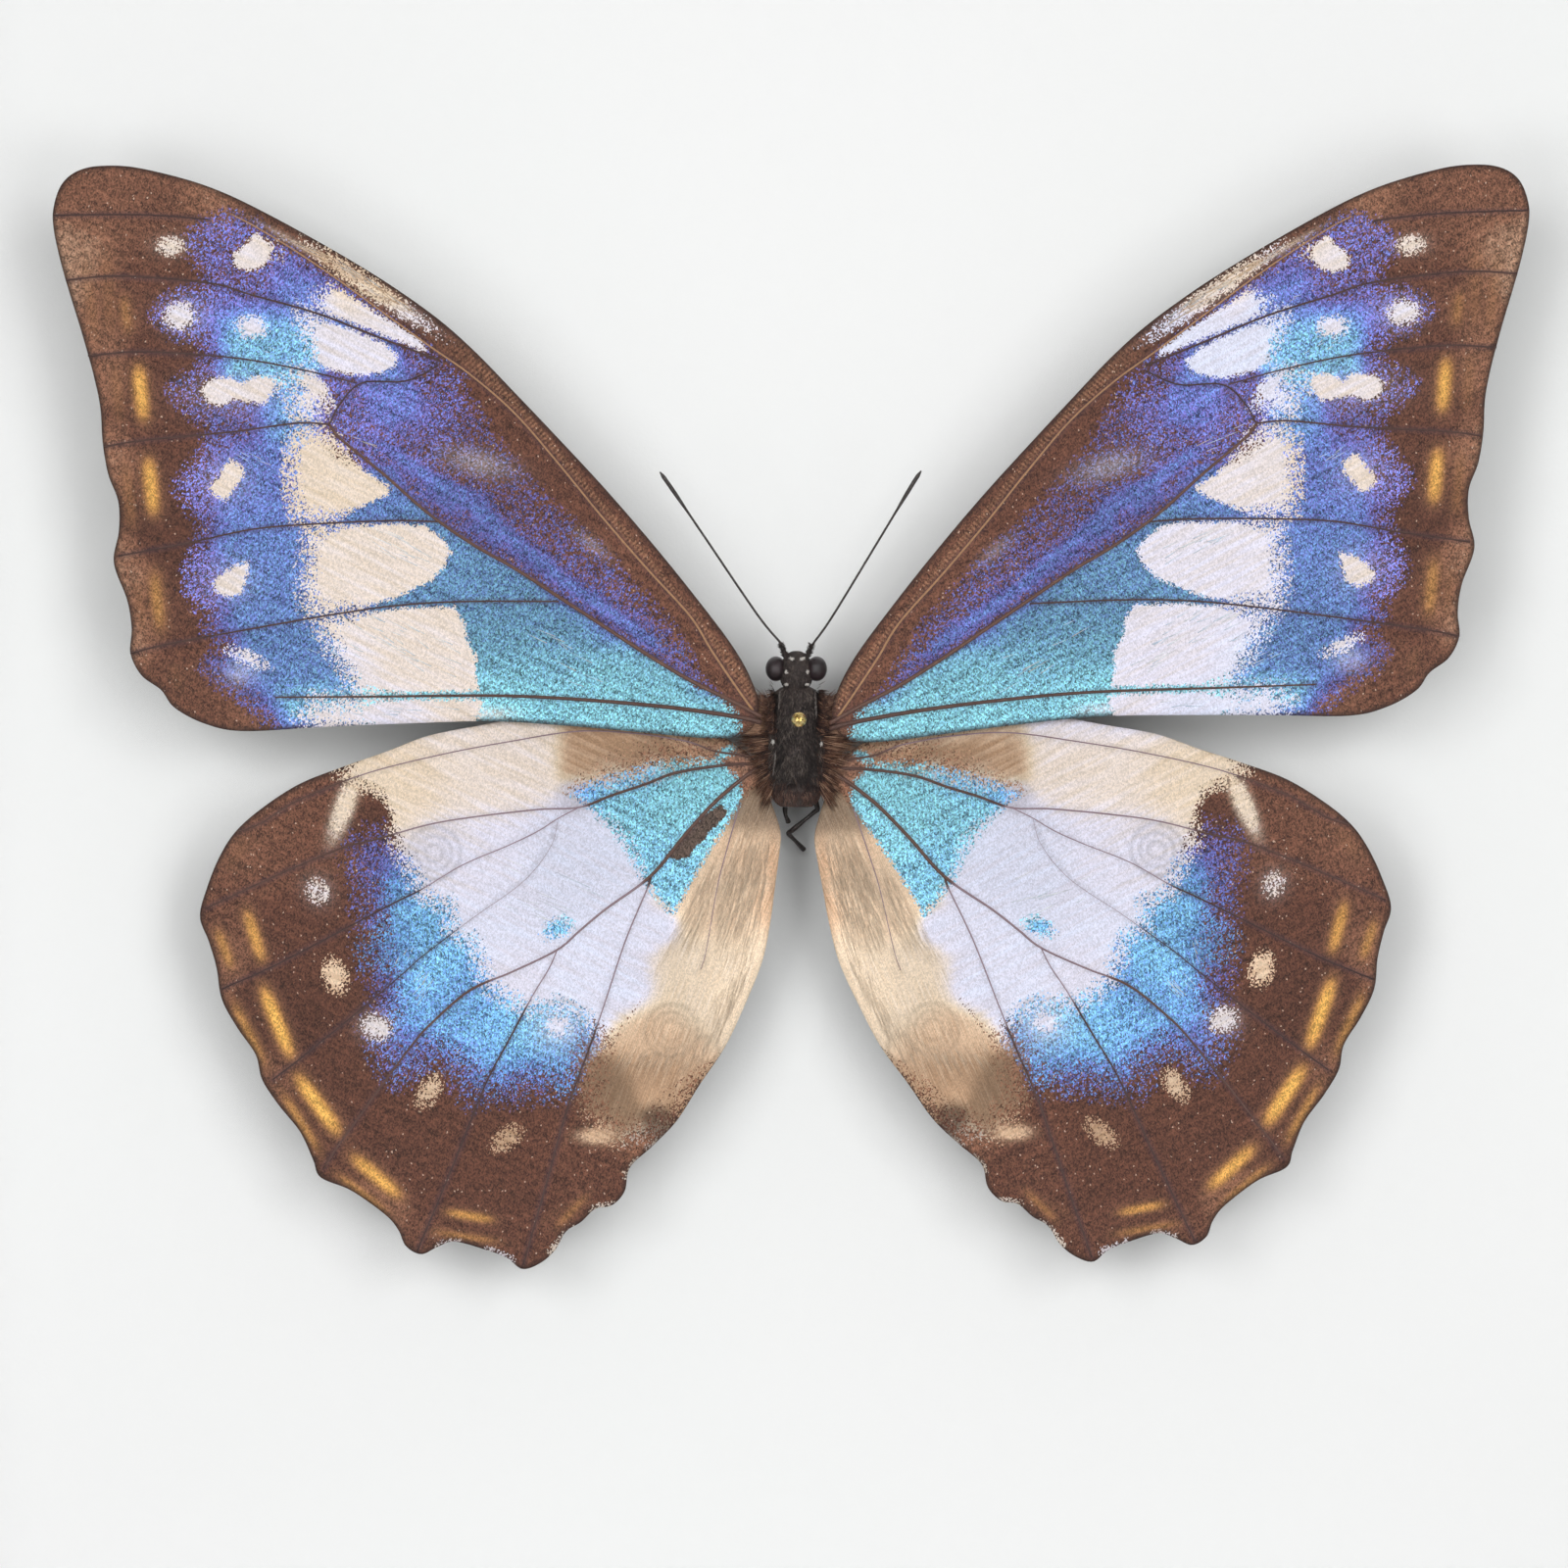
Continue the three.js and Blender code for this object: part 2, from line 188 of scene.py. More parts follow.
def mixed(tree, share, a, b, how="MIX"):
    """Two colours mixed: (1 - share) a + share b. MULTIPLY puts a times b in the place of b."""
    sockets = {0: share, 6: a, 7: b}
    made = node(tree, "ShaderNodeMix", sockets, data_type="RGBA", blend_type=how, clamp_factor=True)
    return made.outputs[2]


def ramp(tree, share, stops):
    """A colour that runs straight from stop to stop: each stop is a position from 0 to 1 and a colour."""
    made = node(tree, "ShaderNodeValToRGB", {"Fac": share})
    elements = made.color_ramp.elements
    while len(elements) < len(stops):
        elements.new(0.5)
    for element, (position, colour) in zip(elements, stops):
        element.position = position
        element.color = colour
    return made.outputs["Color"]


def finish(name, **values):
    """A new material, its node tree and its Principled shader with the given constant sockets."""
    material = bpy.data.materials.new(name)
    material.use_nodes = True
    shader = material.node_tree.nodes["Principled BSDF"]
    for key, value in values.items():
        shader.inputs[key.replace("_", " ")].default_value = value
    return material, material.node_tree, shader


def coloured(tree, shader, colour):
    """Links a colour to the shader's base colour."""
    tree.links.new(colour, shader.inputs["Base Color"])


def group(name, inputs, outputs):
    """A shader node group with named sockets: (label, kind, value) going in and (label, kind) out."""
    tree = bpy.data.node_groups.new(name, "ShaderNodeTree")
    for label, kind, value in inputs:
        socket = tree.interface.new_socket(label, in_out="INPUT", socket_type=kind)
        if value is not None:
            socket.default_value = value
    for label, kind in outputs:
        tree.interface.new_socket(label, in_out="OUTPUT", socket_type=kind)
    return tree, tree.nodes.new("NodeGroupInput").outputs, tree.nodes.new("NodeGroupOutput").inputs


FLOAT, VECTOR = "NodeSocketFloat", "NodeSocketVector"
print("brown in linear light:", [round(x, 3) for x in linear(100, 71, 62)])

# %% [markdown]
# ## Shared effects
# Butterfly colour is a mosaic: each scale has one colour, and where two fields meet the scales of both
# are mixed. A cell pattern gives every scale its own chance number. A field that runs from -1 to 1
# across a border is then compared with that number, which gives the ragged, dotted borders of the real
# wing. The third effect is a fine uneven grain that card, board, wood and metal all need.

# %% Node groups
scale_mosaic, incoming, outgoing = group(
    "scale_mosaic",
    [("Vector", VECTOR, None), ("Width", FLOAT, 0.17), ("Length", FLOAT, 0.21)],
    [("Pick", FLOAT), ("Shade", FLOAT), ("Spare", FLOAT), ("Height", FLOAT)])
cells = node(scale_mosaic, "ShaderNodeCombineXYZ", {
    0: calc(scale_mosaic, "DIVIDE", 1 / MM, incoming["Width"]),
    1: calc(scale_mosaic, "DIVIDE", 1 / MM, incoming["Length"])})
factors = {0: incoming["Vector"], 1: cells.outputs[0]}
spot = node(scale_mosaic, "ShaderNodeVectorMath", factors, operation="MULTIPLY").outputs[0]
mosaic = node(scale_mosaic, "ShaderNodeTexVoronoi", {"Vector": spot, "Scale": 1.0}, voronoi_dimensions="2D")
chances = node(scale_mosaic, "ShaderNodeSeparateColor", {"Color": mosaic.outputs["Color"]})
for number, label in enumerate(("Pick", "Shade", "Spare")):
    scale_mosaic.links.new(chances.outputs[number], outgoing[label])
scale_mosaic.links.new(calc(scale_mosaic, "SUBTRACT", 1.0, mosaic.outputs["Distance"]), outgoing["Height"])

ragged_border, incoming, outgoing = group(
    "ragged_border", [("Field", FLOAT, 0.0), ("Pick", FLOAT, 0.5)], [("Mask", FLOAT)])
EDGE_SHARPNESS = 5.0
lead = scaled(ragged_border, incoming["Pick"], 2.0, -1.0)
gap = calc(ragged_border, "ADD", incoming["Field"], lead)
mask = scaled(ragged_border, gap, EDGE_SHARPNESS, 0.5, clamp=True)
ragged_border.links.new(mask, outgoing["Mask"])

fine_grain, incoming, outgoing = group(
    "fine_grain",
    [("Vector", VECTOR, None), ("Size", FLOAT, 1.0), ("Detail", FLOAT, 4.0)],
    [("Value", FLOAT)])
grain_noise = node(fine_grain, "ShaderNodeTexNoise", {
    "Vector": incoming["Vector"], "Scale": calc(fine_grain, "DIVIDE", 1 / MM, incoming["Size"]),
    "Detail": incoming["Detail"], "Roughness": 0.6})
fine_grain.links.new(grain_noise.outputs["Fac"], outgoing["Value"])
print("node groups:", [g.name for g in bpy.data.node_groups])

# %% [markdown]
# A finish reads the place on the object, the fields that a mesh carries on its points, and the shared
# effects. It may also raise a pattern into relief.

# %% Reading places and groups inside a finish
def place_in(tree):
    """The place on the object, in metres from its own origin."""
    return node(tree, "ShaderNodeTexCoord").outputs["Object"]


def carried(tree, label, output="Fac"):
    """A field that the mesh carries on its points, read by its name."""
    return node(tree, "ShaderNodeAttribute", attribute_name=label).outputs[output]


def grouped(tree, effect, **inputs):
    """One of the shared effects placed in a finish, with its own values."""
    return node(tree, "ShaderNodeGroup", inputs, node_tree=effect).outputs


def grain(tree, size, detail, place=None):
    """The fine grain at a place, or on the object itself, with patches of that size in millimetres."""
    if place is None:
        place = place_in(tree)
    return grouped(tree, fine_grain, Vector=place, Size=size, Detail=detail)["Value"]


def raised(tree, shader, height, distance, strength):
    """Feeds a height through a bump node into the shader's normal. Distance is in millimetres."""
    bump = node(tree, "ShaderNodeBump", {"Height": height, "Distance": distance * MM, "Strength": strength})
    tree.links.new(bump.outputs["Normal"], shader.inputs["Normal"])


print("helpers ready")

# %% [markdown]
# ## Frame and floor
# The rails are lime or pine with a black stain, and the grain still shows as fine long pores. The grain
# has to run along each rail, so there is one stain with grain along X and one with grain along Y. The
# pattern is noise that is stretched along the rail by a Mapping node.

# %% Stained rails
PORE_STRETCH = 30


def drawn_out(tree, scale):
    """The place on the object, multiplied axis by axis, so that a pattern is long where the factor is 1."""
    return node(tree, "ShaderNodeMapping", {"Vector": place_in(tree), "Scale": scale}).outputs[0]


def stained_wood(name, along_x):
    """Black stain over wood: noise stretched 30 to 1 along the rail darkens the pores and dulls them."""
    material, tree, shader = finish(name, Specular_IOR_Level=0.45)
    stretch = (1, PORE_STRETCH, PORE_STRETCH) if along_x else (PORE_STRETCH, 1, PORE_STRETCH)
    pores = grain(tree, 14.0, 7.0, drawn_out(tree, stretch))
    clouds = grain(tree, 40.0, 2.0)
    stain = ramp(tree, pores, [
        (0.36, linear(13, 11, 10)), (0.5, linear(31, 27, 25)), (0.68, linear(46, 40, 36))])
    coloured(tree, shader, mixed(tree, times(tree, clouds, 0.5), stain, linear(38, 31, 27)))
    tree.links.new(scaled(tree, pores, -0.3, 0.58), shader.inputs["Roughness"])
    raised(tree, shader, pores, 0.25, 0.5)
    return material


def dress(material, *names):
    """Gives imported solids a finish, in place of the one that they came with."""
    for name in names:
        solids[name].data.materials.clear()
        solids[name].data.materials.append(material)


dress(stained_wood("stained_rail_across", True), "frame_rail_bottom", "frame_rail_top")
dress(stained_wood("stained_rail_upright", False), "frame_rail_left", "frame_rail_right")
print("rails dressed")

# %% [markdown]
# The board under the specimen and the strips along its sides are white card. From close by it has a
# soft paper tooth, so a fine grain moves its colour by a hair and gives it a slight relief.

# %% White card
card, tree, shader = finish("white_card", Roughness=0.9, Specular_IOR_Level=0.2)
tooth = grain(tree, 0.35, 3.0)
clouds = grain(tree, 60.0, 2.0)
paper = mixed(tree, tooth, linear(243, 243, 243), linear(250, 250, 250))
coloured(tree, shader, mixed(tree, times(tree, clouds, 0.3), paper, linear(241, 241, 240)))
raised(tree, shader, tooth, 0.04, 0.4)
dress(card, "mounting_board", "spacer_bottom", "spacer_right", "spacer_top", "spacer_left")
print("card on board and spacers")

# %% [markdown]
# The glass must let lamp light through to the specimen. Cycles can't send shadow rays through a
# refracting pane, so the pane is left out of those rays, and of light that bounces off a matt surface.
# What the camera sees is still real glass, with a breath of green.

# %% Glass
glass, tree, shader = finish("clear_glass", Roughness=0.0, IOR=1.45, Transmission_Weight=1.0)
coloured(tree, shader, mixed(tree, grain(tree, 50.0, 1.0), linear(253, 255, 254), linear(255, 255, 255)))
dress(glass, "glass_pane")
solids["glass_pane"].visible_shadow = False
solids["glass_pane"].visible_diffuse = False
print("glass dressed")

# %% [markdown]
# The back is pressed fibreboard, brown and slightly flecked, held by bent steel tabs. The steel is
# rolled sheet, so its grain is drawn out one way.

# %% Back panel and steel
fibreboard, tree, shader = finish("pressed_fibreboard", Roughness=0.85, Specular_IOR_Level=0.2)
flecks = grain(tree, 1.4, 6.0)
clouds = grain(tree, 30.0, 3.0)
pressed = ramp(tree, flecks, [
    (0.35, linear(104, 78, 52)), (0.5, linear(138, 106, 72)), (0.66, linear(164, 131, 94))])
coloured(tree, shader, mixed(tree, times(tree, clouds, 0.4), pressed, linear(121, 92, 62)))
raised(tree, shader, flecks, 0.15, 0.5)
dress(fibreboard, "back_panel")

steel, tree, shader = finish("rolled_steel", Metallic=1.0)
rolled = grain(tree, 6.0, 5.0, drawn_out(tree, (1, 25, 25)))
coloured(tree, shader, ramp(tree, rolled, [(0.3, linear(150, 151, 153)), (0.7, linear(196, 197, 198))]))
tree.links.new(scaled(tree, rolled, 0.35, 0.2), shader.inputs["Roughness"])
tabs = [f"back_tab_{row}_{side}" for row in ("top", "bottom") for side in ("left", "right")]
dress(steel, "hanger_plate", *tabs)
print("back and fittings dressed")

# %% [markdown]
# The floor is one large square, a hair lower than the frame's back so that the two never share a plane.

# %% Floor
FLOOR_HALF = 4.0
FLOOR_HEIGHT = -0.0004
FLOOR_CORNERS = [(-1, -1), (1, -1), (1, 1), (-1, 1)]

floor_mesh = bpy.data.meshes.new("floor")
floor_points = [(FLOOR_HALF * x, FLOOR_HALF * y, FLOOR_HEIGHT) for x, y in FLOOR_CORNERS]
floor_mesh.from_pydata(floor_points, [], [(0, 1, 2, 3)])
floor = bpy.data.objects.new("floor", floor_mesh)
bpy.context.scene.collection.objects.link(floor)
pale_floor, tree, shader = finish("pale_floor", Roughness=0.75)
coloured(tree, shader, mixed(tree, grain(tree, 25.0, 4.0), linear(212, 210, 206), linear(222, 220, 217)))
floor_mesh.materials.append(pale_floor)
print("floor laid")

# %% [markdown]
# ## Shapes as arrays
# Every new piece below is made from one of three shapes: a stack of rings that closes at both ends, a
# tube along a path, or a bunch of fine hairs. Each is worked out as whole arrays. A shape is a triple of
# points in millimetres, triangles and quads, and shapes can be joined before they become a mesh.

# %% Curves and shells
STEPS_PER_SPAN = 40


def run_of(path):
    """How far along a path each of its points lies: the sum of the steps before it."""
    return np.concatenate([[0], np.cumsum(np.linalg.norm(np.diff(path, axis=0), axis=1))])


def spread(points, count, closed=False):
    """Points at even distances on a smooth curve: between two given points it is the cubic whose
    slope at each end is half the step between that end's two neighbours."""
    points = np.asarray(points, float)
    if closed:
        padded = np.concatenate([points[-1:], points, points[:2]])
    else:
        before, after = 2 * points[:1] - points[1:2], 2 * points[-1:] - points[-2:-1]
        padded = np.concatenate([before, points, after])
    spans = len(padded) - 3
    along = np.linspace(0, spans, spans * STEPS_PER_SPAN + 1)
    index = np.minimum(along.astype(int), spans - 1)
    t = (along - index)[:, None]
    a, b, c, d = (padded[index + k] for k in range(4))
    square, cube = 2 * a - 5 * b + 4 * c - d, 3 * b - a - 3 * c + d
    curve = 0.5 * (2 * b + (c - a) * t + square * t**2 + cube * t**3)
    run = run_of(curve)
    stops = np.linspace(0, run[-1], count, endpoint=not closed)
    return np.stack([np.interp(stops, run, curve[:, k]) for k in range(curve.shape[1])], axis=1)


def shell(points, rings, around):
    """Faces for a pole, then rings of points, then a pole: a fan, bands of quads, and a fan. They are
    turned round if the volume that they enclose comes out negative."""
    i = np.arange(around)
    j = (i + 1) % around
    start = 1 + around * np.arange(rings - 1)[:, None]
    last, pole = 1 + around * (rings - 1), 1 + around * rings
    quads = np.stack([start + i, start + around + i, start + around + j, start + j], axis=-1).reshape(-1, 4)
    first_fan = np.stack([0 * i, 1 + i, 1 + j], axis=1)
    last_fan = np.stack([last + i, 0 * i + pole, last + j], axis=1)
    fans = np.concatenate([first_fan, last_fan])
    corners = np.concatenate([fans, quads[:, :3], quads[:, [0, 2, 3]]])
    a, b, c = (points[corners[:, k]] for k in range(3))
    if np.einsum("ij,ij->", a, np.cross(b, c)) < 0:
        fans, quads = fans[:, ::-1], quads[:, ::-1]
    return points, fans, quads


def joined(shapes):
    """Several shapes as one: their points end to end, and their face numbers raised to match."""
    starts = np.cumsum([0] + [len(s[0]) for s in shapes[:-1]])
    return (np.concatenate([s[0] for s in shapes]),
            np.concatenate([s[1] + n for s, n in zip(shapes, starts)]),
            np.concatenate([s[2] + n for s, n in zip(shapes, starts)]))


print("a bent curve:", spread([(0, 0), (1, 0), (1, 1)], 3).round(2).tolist())

# %% [markdown]
# A tube is a stack of rings along a path. A hair is a needle with three sides, so that thousands of
# them stay light.

# %% Tubes and hairs
def unit(vectors):
    """Vectors divided by their own lengths."""
    return vectors / np.maximum(np.linalg.norm(vectors, axis=-1, keepdims=True), 1e-9)


def full_turn(count):
    """Angles at even steps round a circle: 2 pi k / count."""
    return np.linspace(0, 2 * np.pi, count, endpoint=False)


def capped(first, skin, last):
    """A shell from an array of rings by points by 3, closed at both ends by a pole."""
    return shell(np.concatenate([[first], skin.reshape(-1, 3), [last]]), *skin.shape[:2])


def tube(path, radius, sides):
    """Rings square to a path: the point at angle t is path + radius (cos t across + sin t lift)."""
    ahead = unit(np.gradient(path, axis=0))
    across = unit(np.cross(ahead, [0.02, 0.03, 1.0]))
    lift = np.cross(across, ahead)
    turn = full_turn(sides)[None, :, None]
    ring = np.cos(turn) * across[:, None] + np.sin(turn) * lift[:, None]
    skin = path[:, None] + np.broadcast_to(radius, len(path))[:, None, None] * ring
    return capped(path[0], skin, path[-1])


def hairs(roots, tips, width, bow):
    """Fine three-sided needles of seven points: a ring at the root, one of three quarters of its width at
    the middle, which is pushed out by bow, and a point at the tip."""
    count = len(roots)
    ahead = unit(tips - roots)
    across = unit(np.cross(ahead, [0.1, 0.2, 1.0]))
    lift = np.cross(across, ahead)
    turn = (2 * np.pi * np.arange(3) / 3)[None, :, None]
    circle = np.cos(turn) * across[:, None] + np.sin(turn) * lift[:, None]
    ring = np.broadcast_to(width, count)[:, None, None] * circle
    middle = (roots + tips) / 2 + bow
    points = np.concatenate([roots[:, None] + ring, middle[:, None] + 0.75 * ring, tips[:, None]], axis=1)
    first = 7 * np.arange(count)[:, None, None]
    k = np.arange(3)
    n = (k + 1) % 3
    quads = first + np.stack([k, n, 3 + n, 3 + k], axis=1)
    sharp = first + np.concatenate([np.stack([3 + k, 3 + n, 0 * k + 6], axis=1), [[2, 1, 0]]])
    return points.reshape(-1, 3), sharp.reshape(-1, 3), quads.reshape(-1, 4)


print("points of a short tube:", len(tube(np.array([[0.0, 0, 0], [0, 1, 0]]), 0.1, 6)[0]))

# %% [markdown]
# Once a shape is ready it becomes a piece: a mesh with a finish, which rides on the only body and may
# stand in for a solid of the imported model.

# %% From shape to piece
def piece(name, shape, material, stands_for=(), fields=None):
    """Puts a shape into a mesh in metres, with a smooth skin, its fields as point attributes, its
    material, the body that it rides on and the solids that it stands for."""
    points, triangles, quads = shape
    mesh = bpy.data.meshes.new(name)
    mesh.from_pydata((points * MM).tolist(), [], triangles.tolist() + quads.tolist())
    mesh.polygons.foreach_set("use_smooth", np.ones(len(mesh.polygons), bool))
    for label, values in (fields or {}).items():
        attribute = mesh.attributes.new(label, "FLOAT", "POINT")
        attribute.data.foreach_set("value", np.asarray(values, np.float32))
    mesh.materials.append(material)
    made = bpy.data.objects.new(name, mesh)
    bpy.context.scene.collection.objects.link(made)
    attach(made, "root")
    if stands_for:
        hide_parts(*stands_for)
    print(name, "points:", len(points), "triangles:", len(triangles) + 2 * len(quads))
    return made


print("body for every piece: root")

# %% [markdown]
# The first piece is a small one. The rails' mitres are open by a fifth of a millimetre, and a line of
# light would show through them along the diagonal, so stained wax fills them as a framer would do it.

# %% Wax in the mitres
FRAME_HALF = round(cad_box[1][0] / MM, 1)
WAX_THICKNESS = 0.19
# distance in from the frame's corner, and height
MITRE_HEART = (9.0, 37.5)
MITRE_SECTION = [(0.1, 0.1), (9.6, 0.1), (9.6, 36.3), (14.9, 36.3), (14.9, 38.3), (14.4, 39.4), (13.2, 39.9),
                 (1.8, 39.9), (0.6, 39.4), (0.1, 38.3)]


def wax(side_x, side_y):
    """The rails' own section on the diagonal of one corner, half its thickness to each side."""
    face = np.array([MITRE_HEART, *MITRE_SECTION, *MITRE_SECTION, MITRE_HEART])
    across = np.repeat([-0.5, 0.5], len(face) // 2) * WAX_THICKNESS / np.sqrt(2)
    corner = FRAME_HALF - face[:, 0]
    points = np.column_stack([side_x * (corner + across), side_y * (corner - across), face[:, 1]])
    return shell(points, 2, len(MITRE_SECTION))


corners = joined([wax(x, y) for x in (-1, 1) for y in (-1, 1)])
piece("mitre_wax", corners, stained_wood("stained_wax", True))

# %% [markdown]
# ## Drawing on a wing
# A marking is written as a few points in millimetres: how far out from the pin, and how far ahead of
# it. Three distance functions turn those points into smooth fields over the whole wing. A field keeps
# its straight slope through the border, so even a coarse mesh carries a clean line.

# %% Distance fields
def to_line(p, line):
    """Distance from each point to a chain of straight steps: the foot on a step is kept between its
    two ends, and the nearest foot counts."""
    line = np.asarray(line, float)
    a, step = line[:-1], np.diff(line, axis=0)
    square = np.maximum(np.einsum("ij,ij->i", step, step), 1e-9)
    share = np.einsum("nij,ij->ni", p[:, None] - a, step) / square
    foot = a + np.clip(share, 0, 1)[..., None] * step
    return np.linalg.norm(p[:, None] - foot, axis=2).min(axis=1)


def to_outline(p, outline):
    """Distance to a closed outline, positive inside: a ray to the right crosses it an odd number of
    times from inside."""
    outline = np.asarray(outline, float)
    a, b = outline, np.roll(outline, -1, axis=0)
    rise = np.where(np.abs(b[:, 1] - a[:, 1]) < 1e-9, 1e-9, b[:, 1] - a[:, 1])
    spans = (a[:, 1] > p[:, 1:]) != (b[:, 1] > p[:, 1:])
    crossing = a[:, 0] + (p[:, 1:] - a[:, 1]) * (b[:, 0] - a[:, 0]) / rise
    inside = (spans & (p[:, :1] < crossing)).sum(axis=1) % 2 == 1
    return np.where(inside, 1, -1) * to_line(p, np.concatenate([outline, outline[:1]]))


def to_oval(p, x, y, half_length, half_width, tilt):
    """Roughly the distance to an oval, positive inside: (1 - r) times its smaller half-axis, where r is
    the point's distance counted in half-axes after turning by tilt."""
    c, s = np.cos(np.radians(tilt)), np.sin(np.radians(tilt))
    dx, dy = p[:, 0] - x, p[:, 1] - y
    r = np.hypot((c * dx + s * dy) / half_length, (c * dy - s * dx) / half_width)
    return (1 - r) * min(half_length, half_width)


def step(low, high, value):
    """A smooth rise from 0 at low to 1 at high: t^2 (3 - 2 t). It falls where low is the larger one."""
    t = np.clip((value - low) / (high - low), 0, 1)
    return t * t * (3 - 2 * t)


def wells(p, rows):
    """A smooth field with a given value near each named place: the mean of the values, weighted by
    exp(-d^2 / 2 s^2) with that place's own spread s."""
    rows = np.asarray(rows, float)
    square = ((p[:, None] - rows[:, :2]) ** 2).sum(axis=2)
    weight = np.exp(-square / (2 * rows[:, 2] ** 2)) + 1e-6 / (1 + square)
    return (weight @ rows[:, 3:]) / weight.sum(axis=1)[:, None]


print("fields ready")

# %% [markdown]
# ## The forewing's plan
# One outline serves both forewings: the right one is the left one mirrored and set a touch differently,
# as a preparer's hand leaves it. The veins are the wing's skeleton. A strong stem and a leading vein run
# out from the root, and thinner ones branch off to the margin.

# %% Forewing outline and veins
FOREWING_HUB = np.array([42.0, 20.0])
FOREWING_OUTLINE = [
    (3.7, 0.7), (4.1, 3.1), (6, 6.7), (10, 12), (14, 16.9), (18, 21.5), (22, 25.8), (26, 30), (30, 34.1),
    (34, 37.5), (40, 41.5), (48, 46), (54, 48.8), (60, 50.4), (63.5, 50.65), (65.8, 50.2), (67.3, 49),
    (68.05, 47), (68.1, 45), (67.5, 42), (66.6, 38.8), (65.5, 35.2), (64.5, 31.5), (63.9, 28.5), (63.7, 25.5),
    (63.2, 22.5), (62.3, 20), (62.25, 17.3), (62.7, 14.4), (61.5, 11), (61.1, 8.4), (61.2, 6.1), (60.2, 4.1),
    (58.4, 2.75), (57.2, 1.15), (54.5, -0.3), (51, -1), (44, -0.65), (36, -0.3), (28, -0.1), (20, -0.6),
    (14, -1.15), (8, -1.65), (4.9, -1.2)]

# each vein: its points, its radius at the root and at the end, and how tan it is
FOREWING_VEINS = {
    "leading": ([(4.2, 0.9), (5.7, 3), (8, 6.4), (10, 9.6), (14, 14), (18, 18.6), (22, 23.5),
        (26, 28.1), (30, 31.6), (34, 34.4), (38, 37.3), (42, 40.2), (46, 42.9), (50, 45.3), (52, 46.3)],
        0.12, 0.08, 0.8),
    "stem": ([(3.4, 0.3), (5.8, 1.6), (10, 3.7), (14, 6.1), (18, 8.7), (22, 11.3), (26, 13.9),
        (30, 16.2), (34, 19), (38, 22.5), (42, 25.8), (43, 27.1)], 0.24, 0.15, 0.36),
    "third_median": ([(43, 27.1), (46, 27.2), (52, 26.4), (60, 25.6), (63.5, 25)], 0.1, 0.09, 0.15),
    "first_cubital": ([(33, 18.2), (37, 18.3), (44, 18), (50, 17.5), (56, 16.2), (62.3, 15)],
        0.09, 0.09, 0.1),
    "second_cubital": ([(22, 10.9), (30, 10.9), (36, 10.6), (42, 9.8), (50, 8.4), (58, 6.9),
        (61.2, 6.1)], 0.09, 0.09, 0.1),
    "anal": ([(3.4, -0.2), (5.5, 0.3), (12, 1.2), (20, 1.9), (28, 2.25), (40, 2.15), (48, 2.1)],
        0.26, 0.08, 0.2),
    "first_median": ([(33, 33), (38, 34.9), (44, 37.2), (50, 38.9), (54, 40), (62, 40.6), (67, 40.2)],
        0.12, 0.09, 0.1),
    "second_median": ([(40.5, 30.9), (46, 32.2), (52, 33.2), (60, 33.7), (65, 33.3)], 0.08, 0.09, 0.1),
    "cell_end": ([(33, 32.5), (36, 31.1), (40, 30.9), (42, 29), (43, 27.1)], 0.09, 0.09, 0.0),
    "apex": ([(54, 45.8), (60, 46.2), (68, 46.1)], 0.08, 0.09, 0.0),
}
stem_line, cell_end_line, leading_line = (FOREWING_VEINS[key][0] for key in ("stem", "cell_end", "leading"))
FOREWING_CELL = stem_line + cell_end_line[-2::-1] + leading_line[8::-1]
print("forewing:", len(FOREWING_OUTLINE), "outline points,", len(FOREWING_VEINS), "veins")

# %% [markdown]
# The blue field reaches from the root to a scalloped border before the brown margin, and its border
# bulges round each pale spot. The pale patches lie between the veins in a band across the wing.

# %% Forewing fields of colour
FOREWING_BLUE = [
    (5.9, 0.7), (7, 1.9), (9.5, 3.9), (12.7, 8.4), (15.7, 11.5), (17.9, 14.2), (20.7, 16.6), (23.7, 19.4),
    (26.3, 22.2), (28.8, 25.4), (31.2, 29.3), (32.2, 31.8), (34, 34.2), (38, 37.1), (42, 40), (46, 42.7),
    (50, 45.1), (52.3, 45.9), (54.5, 45), (55.8, 43.6), (53.8, 41), (54.2, 39.2), (57.6, 38.4), (58.6, 37),
    (57.2, 35.7), (54.6, 35), (53.8, 33.2), (55, 31.6), (57.1, 30.2), (55.5, 28.4), (53.6, 27),
    (54.3, 24.5), (56.5, 21.3), (55.2, 19.2), (54.1, 18), (54.8, 16), (55.6, 14), (55.9, 12.4),
    (54.6, 10.6), (53.5, 9.7), (54, 8.4), (52.4, 7.1), (54.2, 4.9), (53, 3.4), (51.6, 2.8), (50.2, 1.6),
    (48.6, 0.2), (47.5, -1.5), (30, -1.5), (14, -2.2), (5.6, -1.9), (5.4, -0.6)]
